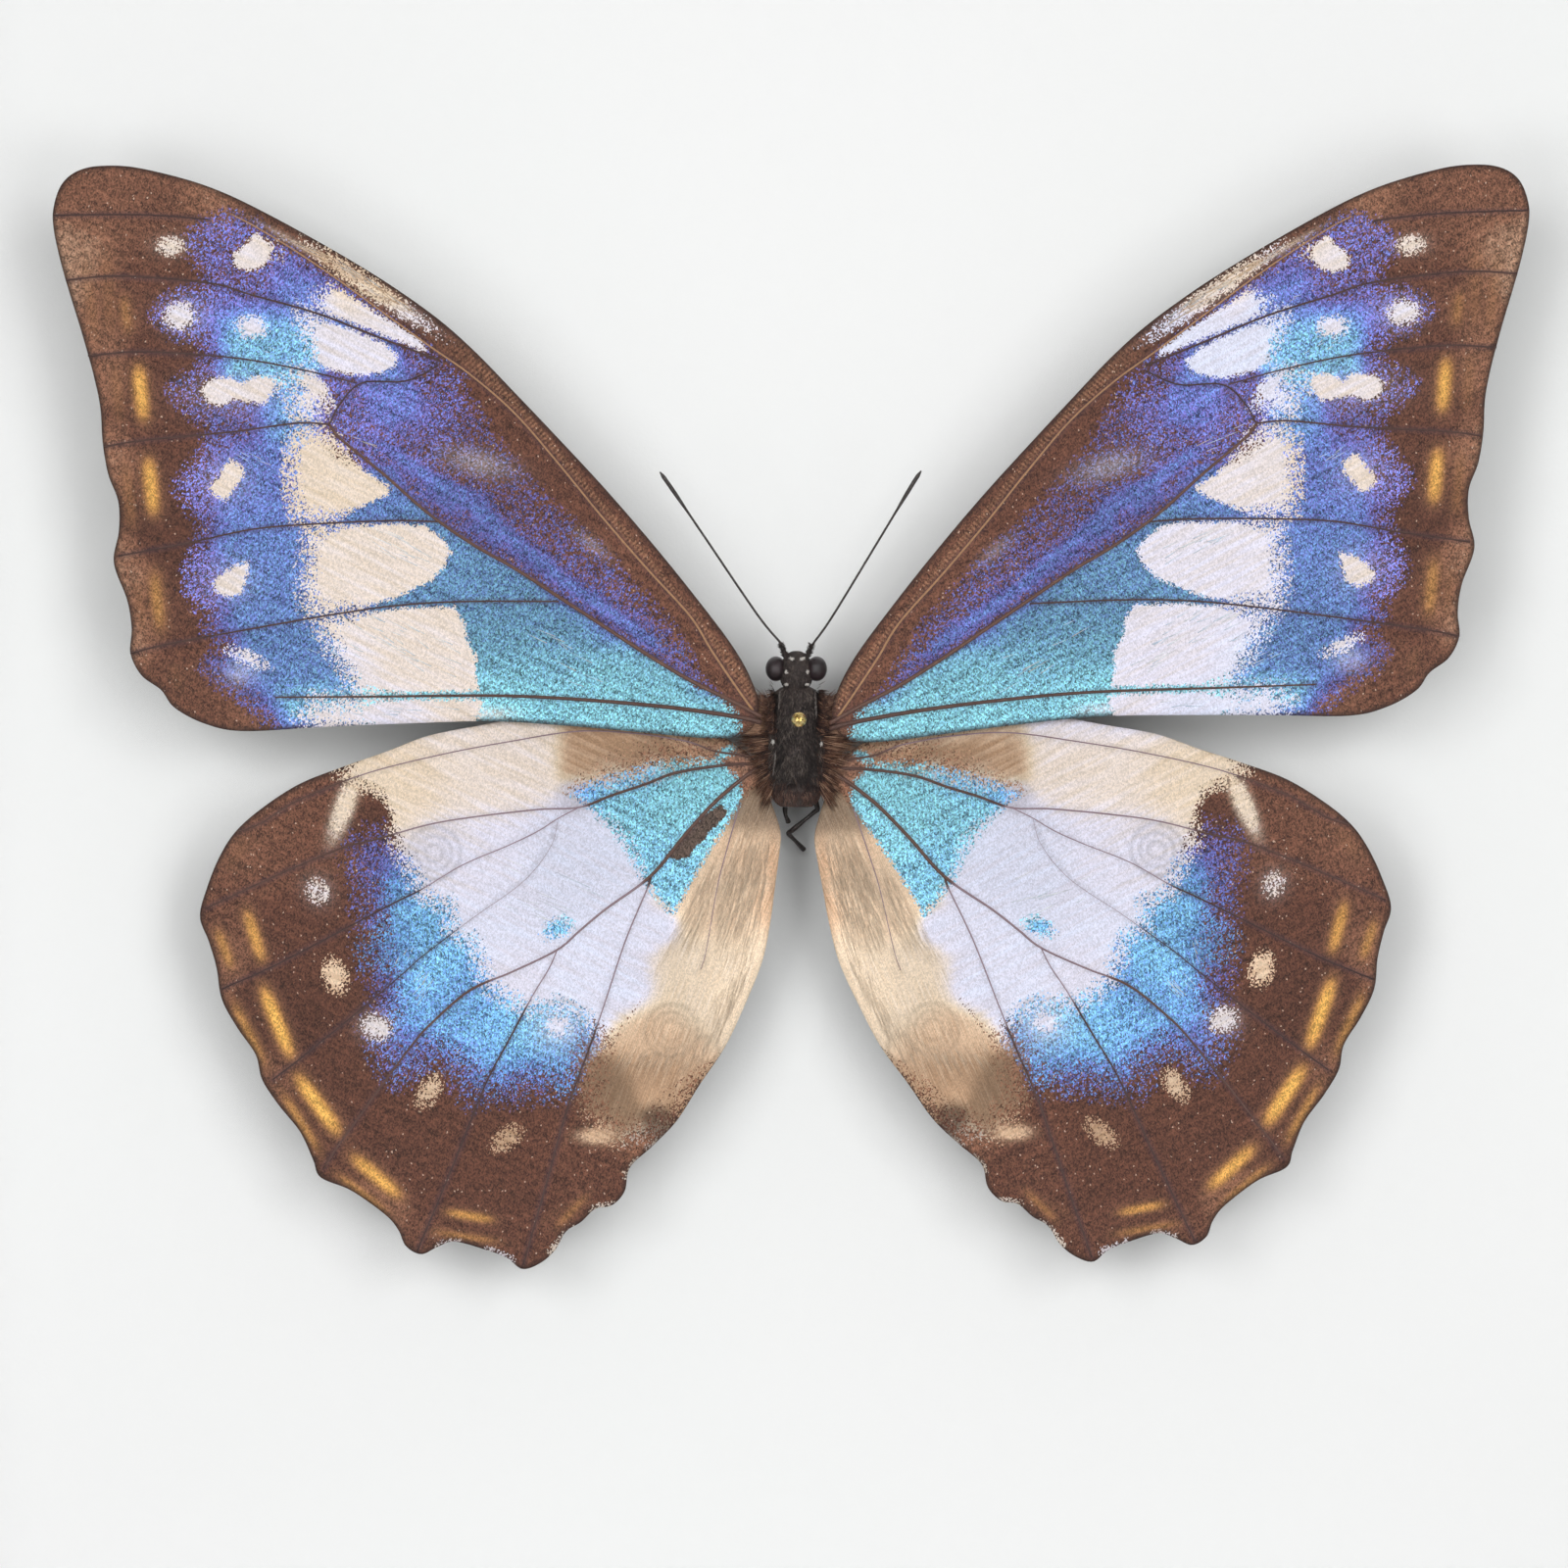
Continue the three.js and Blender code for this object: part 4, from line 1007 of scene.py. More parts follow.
HINDWING_WARMTH = [
    (22, -15, 3, 0.12), (28, -13, 2.2, 0.26), (33, -12, 1.8, 0.28), (26, -18, 2.2, 0.14),
    (20, -23, 2.2, 0.16), (17, -20, 2, 0.18), (15.5, -24.5, 1.2, 0.12), (25, -23, 1.6, 0.24),
    (23.6, -3.5, 1.1, 0.5), (26.5, -4, 2, 0.48), (30, -4, 2.5, 0.5), (36, -6.5, 2, 0.64),
    (39, -4.8, 1.6, 0.66), (8, -16, 2, 0.8), (5, -12, 1.6, 0.86), (10, -24, 2, 0.66), (13, -29, 1.6, 0.88),
    (6.5, -24, 1.6, 0.7), (13.5, -33, 1.6, 0.98), (17, -34.5, 1.4, 1.0), (42.3, -8.5, 1, 0.6),
    (44.3, -15.6, 1, 0.42), (42.6, -23.5, 1, 0.84), (38.8, -28.2, 1, 0.36), (34, -34, 1, 0.86),
    (26.8, -38.4, 1, 0.95), (18.3, -38.1, 0.8, 0.92), (20, -46, 1.5, 0.55), (14, -39.7, 1, 0.55),
    (22, -28.2, 1.2, 0.2), (32, -48, 1, 0.4), (27, -49.4, 1, 0.4), (20.6, -3.5, 1.1, 0.98),
    (17, -2.6, 1.6, 1.0), (12, -2, 1.6, 0.96), (8, -1.5, 2, 1.0), (17, -5.8, 0.9, 0.25),
    (13, -4.8, 0.7, 0.2), (20.3, -6.6, 0.8, 0.3), (12.6, -19, 0.8, 0.14), (2.6, -13, 0.7, 0.92),
    (2.7, -17, 0.7, 0.92)]
# out, ahead, spread, light of the pale scales: their own lightness with painted light and shade from the
# slope
HINDWING_SHADE = [
    (22, -15, 3, 0.88), (28, -13, 2.2, 0.95), (33, -12, 1.8, 0.92), (26, -18, 2.2, 0.98),
    (20, -23, 2.2, 0.98), (17, -20, 2, 0.97), (23.6, -3.5, 1.1, 0.93), (26.5, -4, 2, 0.95),
    (30, -4, 2.5, 0.98), (36, -6.5, 2, 0.98), (4.6, -8.0, 1.2, 0.38), (7.5, -14.5, 1.3, 0.95),
    (8, -18.2, 1.3, 1.2), (5, -17.5, 1.2, 1.42), (5, -20.5, 1.2, 1.3), (5, -12.5, 1.4, 1.08),
    (7, -22, 1.0, 1.0), (10, -24, 2, 0.94), (6.5, -24, 1.6, 1.2), (13, -29, 1.6, 1.02),
    (13.5, -32.6, 1.2, 0.78), (2.6, -13, 0.7, 1.5), (2.7, -17, 0.7, 1.36), (34, -34, 1, 0.9),
    (42.6, -23.5, 1, 1.05), (38.8, -28.2, 1, 0.95), (13.4, -34.5, 0.7, 1.0), (13.2, -36.1, 0.6, 0.2),
    (17, -34, 1.1, 0.44), (16.6, -36.4, 1.0, 0.5), (11, -33.8, 1, 0.8), (18.3, -38.1, 0.8, 1.05),
    (41.8, -8, 1, 1.0), (20.6, -3.5, 1.1, 0.7), (17.5, -2.2, 2, 0.74), (17, -4, 1.0, 0.44),
    (13, -3, 1.2, 0.46), (11, -1.6, 1.5, 0.78), (7.5, -1.4, 1.5, 0.5), (17, -5.8, 0.9, 0.62),
    (13, -4.8, 0.7, 0.6), (20.3, -6.6, 0.8, 0.62)]
# out, ahead, spread, lightness of the brown
HINDWING_BROWN = [
    (50, -10, 1.8, 0.5), (46, -11.5, 2, 0.42), (53, -17, 1.2, 0.42), (44, -20, 2, 0.28),
    (46.4, -26, 1.5, 0.18), (42, -33, 2, 0.26), (36, -38, 2, 0.3), (28, -42, 2.5, 0.3), (20, -41, 2, 0.36),
    (15, -37, 1.6, 0.62), (13.2, -36.4, 0.9, 0.15), (25, -48, 1.5, 0.36), (38.6, -45, 1, 0.6),
    (34, -47.8, 1, 0.4), (49, -33.5, 1, 0.5), (53.5, -22, 1, 0.55), (13, -3, 2, 0.64), (18, -2.5, 2, 0.86),
    (20, -4.4, 1.2, 0.86), (10, -1.8, 1.5, 0.72), (14, -0.6, 1, 0.85), (38.9, -8.6, 1.2, 0.2),
    (40.4, -7.6, 0.8, 0.5)]
print("hindwing tones:", len(HINDWING_TONES), "places")

# %% [markdown]
# The fold has a silk of its own that runs along the body, so the direction of the silk is a field too.

# %% Hindwing fields
# a gap in the white, and a blue spot at the root: place, half-axes, tilt
WHITE_GAP = (22.1, -19.1, 1.3, 0.75, -25)
ROOT_SPOT = (6.7, -2.9, 1.3, 0.5, -28)
FOLD_WAY = np.array([[0.6, -1.6], [5.2, 2.0]])
RING_WIDTH, RING_DEPTH = 0.22, 0.22
# widths of ragged borders at rest, and what is added towards the margin, near the root and above the stem
REST_BLUE, OUTER_BLUE, STEM_BLUE = 0.3, 2.1, 0.9
REST_PALE, OUTER_PALE, ROOT_PALE, STEM_PALE = 0.4, 0.9, 1.3, 0.8
REST_FOLD, REAR_FOLD = 0.3, 1.6
GAP_BORDER, SPOT_BORDER, HIND_OVAL_BORDER, STREAK_BORDER, BARE_BORDER = 0.5, 0.25, 0.5, 0.4, 0.1
# how far in from the border the blue is darker, and its tone there
HIND_BORDER_REACH, HIND_BORDER_TONE = 2.4, 0.5


def soft_rings(p, rings):
    """The strongest of several soft rings: exp(-((d - r) / width)^2), with d counted from a ring's middle."""
    apart = [(np.hypot(p[:, 0] - x, p[:, 1] - y) - r) / RING_WIDTH for x, y, r in rings]
    return np.max([np.exp(-(d**2)) for d in apart], axis=0)


def hindwing_fields(p, to_rim):
    """Every field of the hindwing at the points p, as on the forewing. The pale lightness is the pale scales'
    own lightness with painted light and shade.
    """
    out, ahead = p.T
    reach = np.hypot(out, ahead)
    above_stem = step(-8, -5.5, ahead) * step(7, 11, out)
    blue = to_outline(p, HINDWING_BLUE)
    border = np.clip(1 - blue / HIND_BORDER_REACH, 0, 1) * step(30, 38, reach)
    blue = blue / (REST_BLUE + OUTER_BLUE * step(24, 36, reach) + STEM_BLUE * above_stem)
    outer_border = OUTER_PALE * step(27, 34, reach) * step(-8, -12, ahead)
    pale = to_outline(p, HINDWING_PALE) + 0.2 * step(20, 17, out) * step(-14, -17, ahead)
    pale = pale / (REST_PALE + outer_border + ROOT_PALE * step(22, 16, reach) + STEM_PALE * above_stem)
    fold = (to_outline(p, HINDWING_FOLD) + 0.3) / (REST_FOLD + REAR_FOLD * step(-29, -33, ahead))
    pale = np.minimum(np.maximum(pale, fold), 0.1 - to_oval(p, *WHITE_GAP) / GAP_BORDER)
    root_spot = to_oval(p, *ROOT_SPOT) / SPOT_BORDER
    pale = with_ovals(p, np.minimum(pale, -root_spot), HINDWING_OVALS, HIND_OVAL_BORDER)
    for line, width, cover in HINDWING_STREAKS:
        pale = np.maximum(pale, np.minimum((width - to_line(p, line)) / STREAK_BORDER, 2 * cover - 1))
    tone, light = wells(p, HINDWING_TONES).T
    tone = np.maximum(tone, tone + (HIND_BORDER_TONE - tone) * border)
    silk_along, silk_across = np.where(fold > 0, FOLD_WAY @ p.T, SILK_WAY @ p.T)
    return {
        "blue": thinned(np.maximum(blue, root_spot), tone), "tone": tone, "light": light, "pale": pale,
        "haze": soft_ovals(p, HINDWING_HAZE), "ochre": soft_bars(p, HINDWING_OCHRE),
        # the pale scales' lightness: their own, with painted light and shade from the fold's slope, and the
        # rings
        "glow": wells(p, HINDWING_SHADE)[:, 0] * (1 - RING_DEPTH * soft_rings(p, HINDWING_RINGS)),
        "warm": wells(p, HINDWING_WARMTH)[:, 0], "brown": wells(p, HINDWING_BROWN)[:, 0],
        "vein": to_veins(p, HINDWING_VEINS), "ribs": np.zeros(len(p)), "rim": to_rim,
        "bare": to_outline(p, HINDWING_BARE) / BARE_BORDER,
        "silk_along": silk_along, "silk_across": silk_across}


print("hindwing fields:", len(hindwing_fields(HINDWING_HUB[None], np.array([FAR_AWAY]))))

# %% [markdown]
# ## The wing finish
# One graph paints both kinds of wing. It starts with brown scales, lays blue, pale and ochre scales over
# them, the first two with ragged borders, then darkens the veins' flanks and the margin. Each scale also
# has its own lightness, which gives the grainy sparkle.

# %% Wing colours
SCALE_WIDTH, SCALE_LENGTH = 0.11, 0.13
# patterns: waves of silk and of fine noise in a millimetre, and the ribs' spacing and bend
SILK_ACROSS, SILK_ALONG, FINE_PER_MM = 2.2, 0.16, 1.7
RIB_SCALE, RIB_BEND = 0.8, 0.6
# darker lines along veins and rim: near distance, far distance, strongest share
VEIN_LINE, RIM_LINE = (0.08, 0.5, 0.45), (0.12, 0.55, 0.8)
# the share of brown scales that aren't loose, and the furthest the tone goes towards violet
LOOSE_SHARE = 0.996
MOST_VIOLET = 0.74
BROWNS = [
    (0.1, linear(75, 45, 34)), (0.35, linear(93, 58, 45)), (0.65, linear(129, 89, 69)),
    (0.95, linear(170, 136, 112))]
TURQUOISES = [(0.0, linear(136, 202, 214)), (0.25, linear(122, 178, 208))]
VIOLETS = [(0.55, linear(102, 127, 196)), (0.72, linear(102, 101, 176)), (0.9, linear(102, 84, 138))]
PALES = [
    (0.0, linear(218, 224, 246)), (0.25, linear(226, 222, 238)), (0.48, linear(232, 217, 208)),
    (0.68, linear(230, 208, 182)), (0.9, linear(212, 178, 148)), (1.0, linear(190, 152, 120))]
OCHRES = [
    (0.0, linear(102, 72, 61)), (0.4, linear(148, 104, 70)), (0.75, linear(198, 144, 78)),
    (1.0, linear(232, 178, 92))]
RIB_TAN, LOOSE_SCALE, BARE_SKIN = linear(158, 118, 90), linear(196, 168, 148), linear(84, 69, 61)
VEIN_FLANK, DARK_RIM = linear(70, 52, 60), linear(50, 35, 31)
print("pale scales:", len(PALES), "colours from cool to warm")

# %% [markdown]
# The graph reads every field by its name. Small helpers inside it keep each layer to a line or two.

# %% Wing finish
def wing_finish(name, middle_blue):
    """Layers of scales: brown, then blue, haze, pale and ochre by their fields, then lines along veins
    and margin. Each scale's light is spread evenly about its layer's own."""
    material, tree, shader = finish(name, Roughness=0.62, Specular_IOR_Level=0.2)
    place = place_in(tree)
    scales = grouped(tree, scale_mosaic, Vector=place, Width=SCALE_WIDTH, Length=SCALE_LENGTH)
    pick, shade, spare = scales["Pick"], scales["Shade"], scales["Spare"]

    def field(label):
        """A field of this wing."""
        return carried(tree, label)

    def noise(where, scale):
        """Flat noise from 0 to 1."""
        inputs = {"Vector": where, "Scale": scale, "Detail": 1.0}
        return node(tree, "ShaderNodeTexNoise", inputs, noise_dimensions="2D").outputs["Fac"]

    def ragged(label):
        """1 where the scales of a field lie, 0 elsewhere."""
        return grouped(tree, ragged_border, Field=field(label), Pick=pick)["Mask"]

    def lit(colour, level):
        """The colour multiplied by a level of light."""
        grey = node(tree, "ShaderNodeCombineColor", {0: level, 1: level, 2: level}).outputs[0]
        return mixed(tree, 1.0, colour, grey, "MULTIPLY")

    def about(value, centre, factor, offset):
        """The value less its centre, times factor, plus offset."""
        return scaled(tree, calc(tree, "SUBTRACT", value, centre), factor, offset)

    def fading(distance, near, far, most):
        """A straight fall from most, at the near distance, to 0 at the far one."""
        inputs = {"Value": distance, 1: near, 2: far, 3: most, 4: 0.0}
        return node(tree, "ShaderNodeMapRange", inputs).outputs[0]

    fine = noise(place, FINE_PER_MM / MM)
    silk_x = times(tree, field("silk_across"), SILK_ACROSS)
    silk_y = times(tree, field("silk_along"), SILK_ALONG)
    silk = noise(node(tree, "ShaderNodeCombineXYZ", {0: silk_x, 1: silk_y}).outputs[0], 1.0)
    rib_inputs = {"Vector": carried(tree, "along_edge", "Vector"), "Scale": RIB_SCALE, "Distortion": RIB_BEND}
    rib_line = node(tree, "ShaderNodeTexWave", rib_inputs, bands_direction="X").outputs["Fac"]
    uneven = scaled(tree, silk, 0.9, scaled(tree, fine, 0.4, -0.15))
    own_light = scaled(tree, shade, 1.5, calc(tree, "SUBTRACT", uneven, 0.25))
    own_light = calc(tree, "MAXIMUM", own_light, 0.2)
    rib_light = scaled(tree, rib_line, 0.24, 0.85)

    brown = ramp(tree, about(fine, 0.5, 0.2, field("brown")), BROWNS)
    brown = mixed(tree, times(tree, field("ribs"), times(tree, rib_line, 0.5)), brown, RIB_TAN)
    colour = lit(brown, scaled(tree, own_light, 0.9, 0.1))
    colour = mixed(tree, calc(tree, "GREATER_THAN", spare, LOOSE_SHARE), colour, LOOSE_SCALE)

    tone = about(spare, 0.5, 0.3, calc(tree, "MINIMUM", field("tone"), MOST_VIOLET))
    blue = ramp(tree, tone, [*TURQUOISES, (0.4, middle_blue), *VIOLETS])
    blue = lit(blue, times(tree, field("light"), times(tree, own_light, rib_light)))
    colour = mixed(tree, ragged("blue"), colour, blue)

    warmth = scaled(tree, calc(tree, "SUBTRACT", 0.5, silk), 0.28, field("warm"))
    pale_light = scaled(tree, shade, 0.34, scaled(tree, silk, 0.26, 0.69))
    # the pale scales' lightness, which on the hindwing holds painted light and shade from the slope
    pale = lit(ramp(tree, warmth, PALES), times(tree, field("glow"), pale_light))
    haze_share = times(tree, field("haze"), scaled(tree, pick, 1.3, 0.35), clamp=True)
    pale_mask = ragged("pale")
    colour = mixed(tree, haze_share, colour, pale)
    colour = mixed(tree, pale_mask, colour, pale)
    colour = mixed(tree, ragged("bare"), colour, lit(BARE_SKIN, own_light))
    ochre = lit(ramp(tree, field("ochre"), OCHRES), scaled(tree, own_light, 0.6, 0.4))
    colour = mixed(tree, times(tree, field("ochre"), 1.25, clamp=True), colour, ochre)

    beside_vein = fading(field("vein"), *VEIN_LINE)
    beside_vein = times(tree, beside_vein, scaled(tree, pale_mask, -0.65, 1.0))
    colour = mixed(tree, beside_vein, colour, VEIN_FLANK)
    at_rim = fading(field("rim"), *RIM_LINE)
    at_rim = times(tree, at_rim, scaled(tree, pale_mask, -0.8, 1.0))
    coloured(tree, shader, mixed(tree, at_rim, colour, DARK_RIM))
    return material


forewing_finish = wing_finish("forewing_scales", linear(110, 150, 204))
hindwing_finish = wing_finish("hindwing_scales", linear(104, 162, 216))
print("upper sides:", forewing_finish.name, hindwing_finish.name)

# %% [markdown]
# The photograph doesn't show the undersides, so theirs is a plain brown mosaic with soft pale clouds.

# %% Underside
underside, tree, shader = finish("wing_underside", Roughness=0.7, Specular_IOR_Level=0.2)
under_scales = grouped(tree, scale_mosaic, Vector=place_in(tree), Width=0.17, Length=0.22)["Shade"]
under_brown = ramp(tree, under_scales, [(0, linear(92, 68, 56)), (1, linear(146, 116, 96))])
coloured(tree, shader, mixed(tree, grain(tree, 9.0, 3.0), under_brown, linear(176, 150, 124)))
print("underside:", underside.name)

# %% [markdown]
# ## The wings
# A wing is one sheet, drawn as a fan from a hub to its outline, first over the top and then back along
# the underside. It rises towards the tip, the veins lift the sheet a little, and between them it sags.
# The right wings are the same drawing, squeezed and turned by a percent or two before they are mirrored.

# %% Heights and poses
SHEET = 0.2
WING_REACH = 68.0
FOREWING_BASE, FOREWING_CLIMB = 23.4, 2.0
HINDWING_BASE, HINDWING_CLIMB = 22.4, 1.0
FOLD_DROP, FOLD_WIDTH = 2.2, 4.0
RIDGE, RIDGE_WIDTH, WAVE = 0.1, 0.6, 0.12
AS_DRAWN = {"squeeze": (1, 1), "lean": 0, "lift": 0, "shift": (0, 0)}
RIGHT_FOREWING = {"squeeze": (1, 0.965), "lean": -0.018, "lift": 0.041, "shift": (-0.59, -0.72)}
RIGHT_HINDWING = {"squeeze": (0.985, 0.986), "lean": -0.055, "lift": 0.021, "shift": (-0.75, -0.57)}


def forewing_height(p):
    """It climbs with the square of the distance from the pin."""
    return FOREWING_BASE + FOREWING_CLIMB * (p**2).sum(axis=1) / WING_REACH**2


def hindwing_height(p):
    """As the forewing, a millimetre lower, and it folds down along the body."""
    climb = HINDWING_CLIMB * (p**2).sum(axis=1) / WING_REACH**2
    return HINDWING_BASE + climb - FOLD_DROP * np.exp(-p[:, 0] / FOLD_WIDTH)


def relief(p, to_vein):
    """Ridges along the veins, RIDGE exp(-(d / RIDGE_WIDTH)^2), on a sheet that waves by WAVE millimetres."""
    ridge = RIDGE * np.exp(-((to_vein / RIDGE_WIDTH) ** 2))
    return ridge + WAVE * np.sin(p[:, 0] / 2.9 + p[:, 1] / 4.7) * np.sin(p[:, 1] / 3.3)


def upper_skin(plan, p, to_vein):
    """Height of the sheet's upper side."""
    return plan["height_at"](p) + relief(p, to_vein) + SHEET / 2


def placed(p, height, side, squeeze, lean, lift, shift):
    """A plan set on its side of the body: squeezed, sheared by lean and lift, shifted, then mirrored."""
    out = squeeze[0] * p[:, 0] + lean * p[:, 1] + shift[0]
    ahead = squeeze[1] * p[:, 1] + lift * p[:, 0] + shift[1]
    return np.stack([side * out, ahead, height], axis=1)


print("tip and root heights:", forewing_height(np.array([[WING_REACH, 0], [0, 0]])))

# %% [markdown]
# The mesh has many rings on top, where the markings are, and few below. Its lower side gets the second
# finish.

# %% Wing sheets
AROUND, TOP_RINGS, UNDER_RINGS = 520, 130, 8
# how thick the sheet is at its rim, as a share, and how far in it reaches its full thickness
RIM_SHARE, RIM_TAPER = 0.4, 1.5
LESS_WARMTH = 0.2


def right_shift(p):
    """The right forewing's large patches are bluer than the left's: LESS_WARMTH up to 46 mm out."""
    return -LESS_WARMTH * step(47, 45, p[:, 0]) * step(-3, 0, p[:, 1])


def wing(plan, label, side, pose):
    """Points hub + reach (rim - hub), with reach going 0 to 1 on top and 1 to 0 below. The distance to
    the rim is (1 - reach) times the hub's distance from the rim's tangent."""
    hub, name = plan["hub"], plan["kind"] + "_" + label
    rim = spread(plan["outline"], AROUND, closed=True)
    tangent = unit(np.roll(rim, -1, axis=0) - np.roll(rim, 1, axis=0))
    ray = rim - hub
    over, under = np.linspace(0, 1, TOP_RINGS + 1)[1:], np.linspace(1, 0, UNDER_RINGS + 1)[:-1]
    reach = np.concatenate([over, under])[:, None]
    flat = np.concatenate([[hub], (hub + reach[..., None] * ray).reshape(-1, 2), [hub]])
    across = np.abs(ray[:, 0] * tangent[:, 1] - ray[:, 1] * tangent[:, 0])
    to_rim = np.concatenate([[FAR_AWAY], ((1 - reach) * across).ravel(), [FAR_AWAY]])
    on_top = np.arange(len(flat)) <= TOP_RINGS * AROUND
    fields = plan["fields_at"](flat, to_rim)
    fields["along_edge"] = flat @ np.array(plan["edge_way"])
    if side > 0:
        fields["bare"] = np.full(len(flat), -FAR_AWAY)
        fields["warm"] = fields["warm"] + right_shift(flat)
    half = SHEET / 2 * (RIM_SHARE + (1 - RIM_SHARE) * step(0, RIM_TAPER, to_rim))
    height = plan["height_at"](flat) + relief(flat, fields["vein"]) + np.where(on_top, half, -half)
    sheet = shell(placed(flat, height, side, **pose), len(reach), AROUND)
    made = piece(name + "_sheet", sheet, plan["finish"], [name], fields)
    made.data.materials.append(underside)
    below = np.zeros(len(made.data.polygons), int)
    below[AROUND:2 * AROUND] = 1
    below[2 * AROUND + TOP_RINGS * AROUND:] = 1
    made.data.polygons.foreach_set("material_index", below)


FORE = {
    "kind": "forewing", "hub": FOREWING_HUB, "outline": FOREWING_OUTLINE, "veins": FOREWING_VEINS,
    "fields_at": forewing_fields, "height_at": forewing_height, "edge_way": (0.66, 0.75),
    "finish": forewing_finish, "slot": "forewing_scales"}
HIND = {
    "kind": "hindwing", "hub": HINDWING_HUB, "outline": HINDWING_OUTLINE, "veins": HINDWING_VEINS,
    "fields_at": hindwing_fields, "height_at": hindwing_height, "edge_way": (1.0, 0.0),
    "finish": hindwing_finish, "slot": "hindwing_scales"}
WINGS = [
    (FORE, "left", -1, AS_DRAWN), (FORE, "right", 1, RIGHT_FOREWING),
    (HIND, "left", -1, AS_DRAWN), (HIND, "right", 1, RIGHT_HINDWING)]
for one_wing in WINGS:
    wing(*one_wing)

# %% [markdown]
# The veins are slim tubes that stand proud of the sheet. Near the root they are stout and tan, on the
# pale patches thin and grey, and elsewhere dark brown.

# %% Veins
VEIN_STEPS, VEIN_SIDES = 90, 6
THINNER_ON_PALE = 0.35

vein_skin, tree, shader = finish("vein_skin", Roughness=0.5, Specular_IOR_Level=0.3)
flecks = grain(tree, 0.45, 3.0)
tan_share = scaled(tree, flecks, 0.5, calc(tree, "SUBTRACT", carried(tree, "tan"), 0.25))
strong = ramp(tree, tan_share, [
    (0.0, linear(62, 44, 42)), (0.4, linear(98, 70, 60)), (1.0, linear(190, 146, 104))])
faint = mixed(tree, flecks, linear(140, 118, 132), linear(178, 158, 168))
coloured(tree, shader, mixed(tree, times(tree, carried(tree, "over_pale"), 0.8), strong, faint))


def along_tube(values, sides):
    """Values along a path, given to every point of its tube: the first pole, the rings, the last pole."""
    return np.concatenate([values[:1], np.repeat(values, sides), values[-1:]])


def vein_tubes(plan, label, side, pose):
    """One tube per vein, tapering evenly from root to end and a third thinner on pale scales, its axis a
    third of its radius below the sheet's upper skin."""
    shapes, tans, pales = [], [], []
    for line, root, end, tan in plan["veins"].values():
        path = spread(line, VEIN_STEPS)
        field = plan["fields_at"](path, np.full(VEIN_STEPS, FAR_AWAY))
        over_pale = step(-0.2, 0.6, field["pale"]) * (1 - tan)
        radius = np.linspace(root, end, VEIN_STEPS) * (1 - THINNER_ON_PALE * over_pale)
        axis = upper_skin(plan, path, np.zeros(VEIN_STEPS)) - radius / 3
        shapes.append(tube(placed(path, axis, side, **pose), radius, VEIN_SIDES))
        tans.append(along_tube(np.full(VEIN_STEPS, tan), VEIN_SIDES))
        pales.append(along_tube(over_pale, VEIN_SIDES))
    fields = {"tan": np.concatenate(tans), "over_pale": np.concatenate(pales)}
    name = f"{plan['kind']}_veins_{label}"
    piece(name, joined(shapes), vein_skin, fields=fields)


for one_wing in WINGS:
    vein_tubes(*one_wing)

# %% [markdown]
# Hair comes next, and the first use of it isn't hair: here and there the sheet is creased, and the crest of a
# crease catches the light as a fine pale stroke. A pale needle paints that highlight.

# %% Hair as a piece
ROOT_SHADE, TIP_SHADE = -0.14, 0.16


def fur_finish(name, dark, middle, light):
    """Hair that goes from dark to light by its own chance number, with a little change along it."""
    material, tree, shader = finish(name, Roughness=0.55, Specular_IOR_Level=0.3)
    own = calc(tree, "SUBTRACT", carried(tree, "shade"), 0.2)
    shade = scaled(tree, grain(tree, 0.4, 2.0), 0.4, own)
    coloured(tree, shader, ramp(tree, shade, [(0.1, dark), (0.5, middle), (0.95, light)]))
    return material


def fur(name, material, slot, roots, tips, width, bow, shade):
    """Hairs as one piece. Each hair's seven points carry its own shade, less at the root, more at the tip."""
    along = np.tile([ROOT_SHADE] * 3 + [0] * 3 + [TIP_SHADE], len(roots))
    fields = {"shade": np.repeat(shade, 7) + along}
    piece(name, hairs(roots, tips, width, bow), material, fields=fields)


print("hair goes from", ROOT_SHADE, "to", TIP_SHADE, "about its shade")

# %% [markdown]
# The strokes run side by side, so a few beds with a place, a direction and a count describe them all.

# %% Crease highlights
# out, ahead, half-spans, direction, shortest, longest, how white, how many
FOREWING_STROKES = [
    (37.2, 16.0, 2.6, 1.0, 27, 1.2, 3.4, 0.8, 14), (36, 7.4, 5.0, 1.7, 27, 0.9, 3.0, 0.8, 30),
    (43, 6.2, 2.2, 1.7, 25, 0.6, 1.8, 0.6, 14), (50.3, 24.1, 1.2, 0.5, 28, 1.0, 2.2, 0.4, 4),
    (40.4, 26, 2.0, 0.6, 24, 1.0, 2.6, 0.4, 5), (46.4, 38.3, 1.2, 0.5, 20, 0.6, 1.4, 0.4, 4),
    (23, 6.2, 5.0, 1.6, 27, 1.2, 3.2, 0.4, 9), (36, 0.8, 7.0, 0.6, 3, 1.0, 3.0, 0.8, 8),
    (49.5, 34.6, 2.0, 0.8, 30, 0.5, 1.2, 0.5, 8), (39, 39.6, 3.6, 0.5, 32, 2.0, 4.5, 0.2, 26),
    (46, 43.5, 3.4, 0.3, 29, 2.5, 5.0, 0.05, 16), (43, 42, 2.5, 0.4, 30, 1.5, 3.0, 0.1, 10),
    (50, 45.6, 2.0, 0.2, 26, 2.0, 3.5, 0.0, 6)]
HINDWING_STROKES = [
    (34.6, -24.2, 0.9, 1.0, 126, 1.2, 2.6, 0.6, 9), (36.5, -21.5, 1.0, 0.8, 110, 0.5, 1.2, 0.4, 5),
    (24, -15.5, 4.0, 2.6, 24, 1.5, 4.5, 0.9, 12)]
# a highlight needle's half-thickness, its height over the skin, and how far inside the outline its ends stay
CREASE_HALF, CREASE_RISE, CREASE_INSET = 0.042, 0.01, 0.2


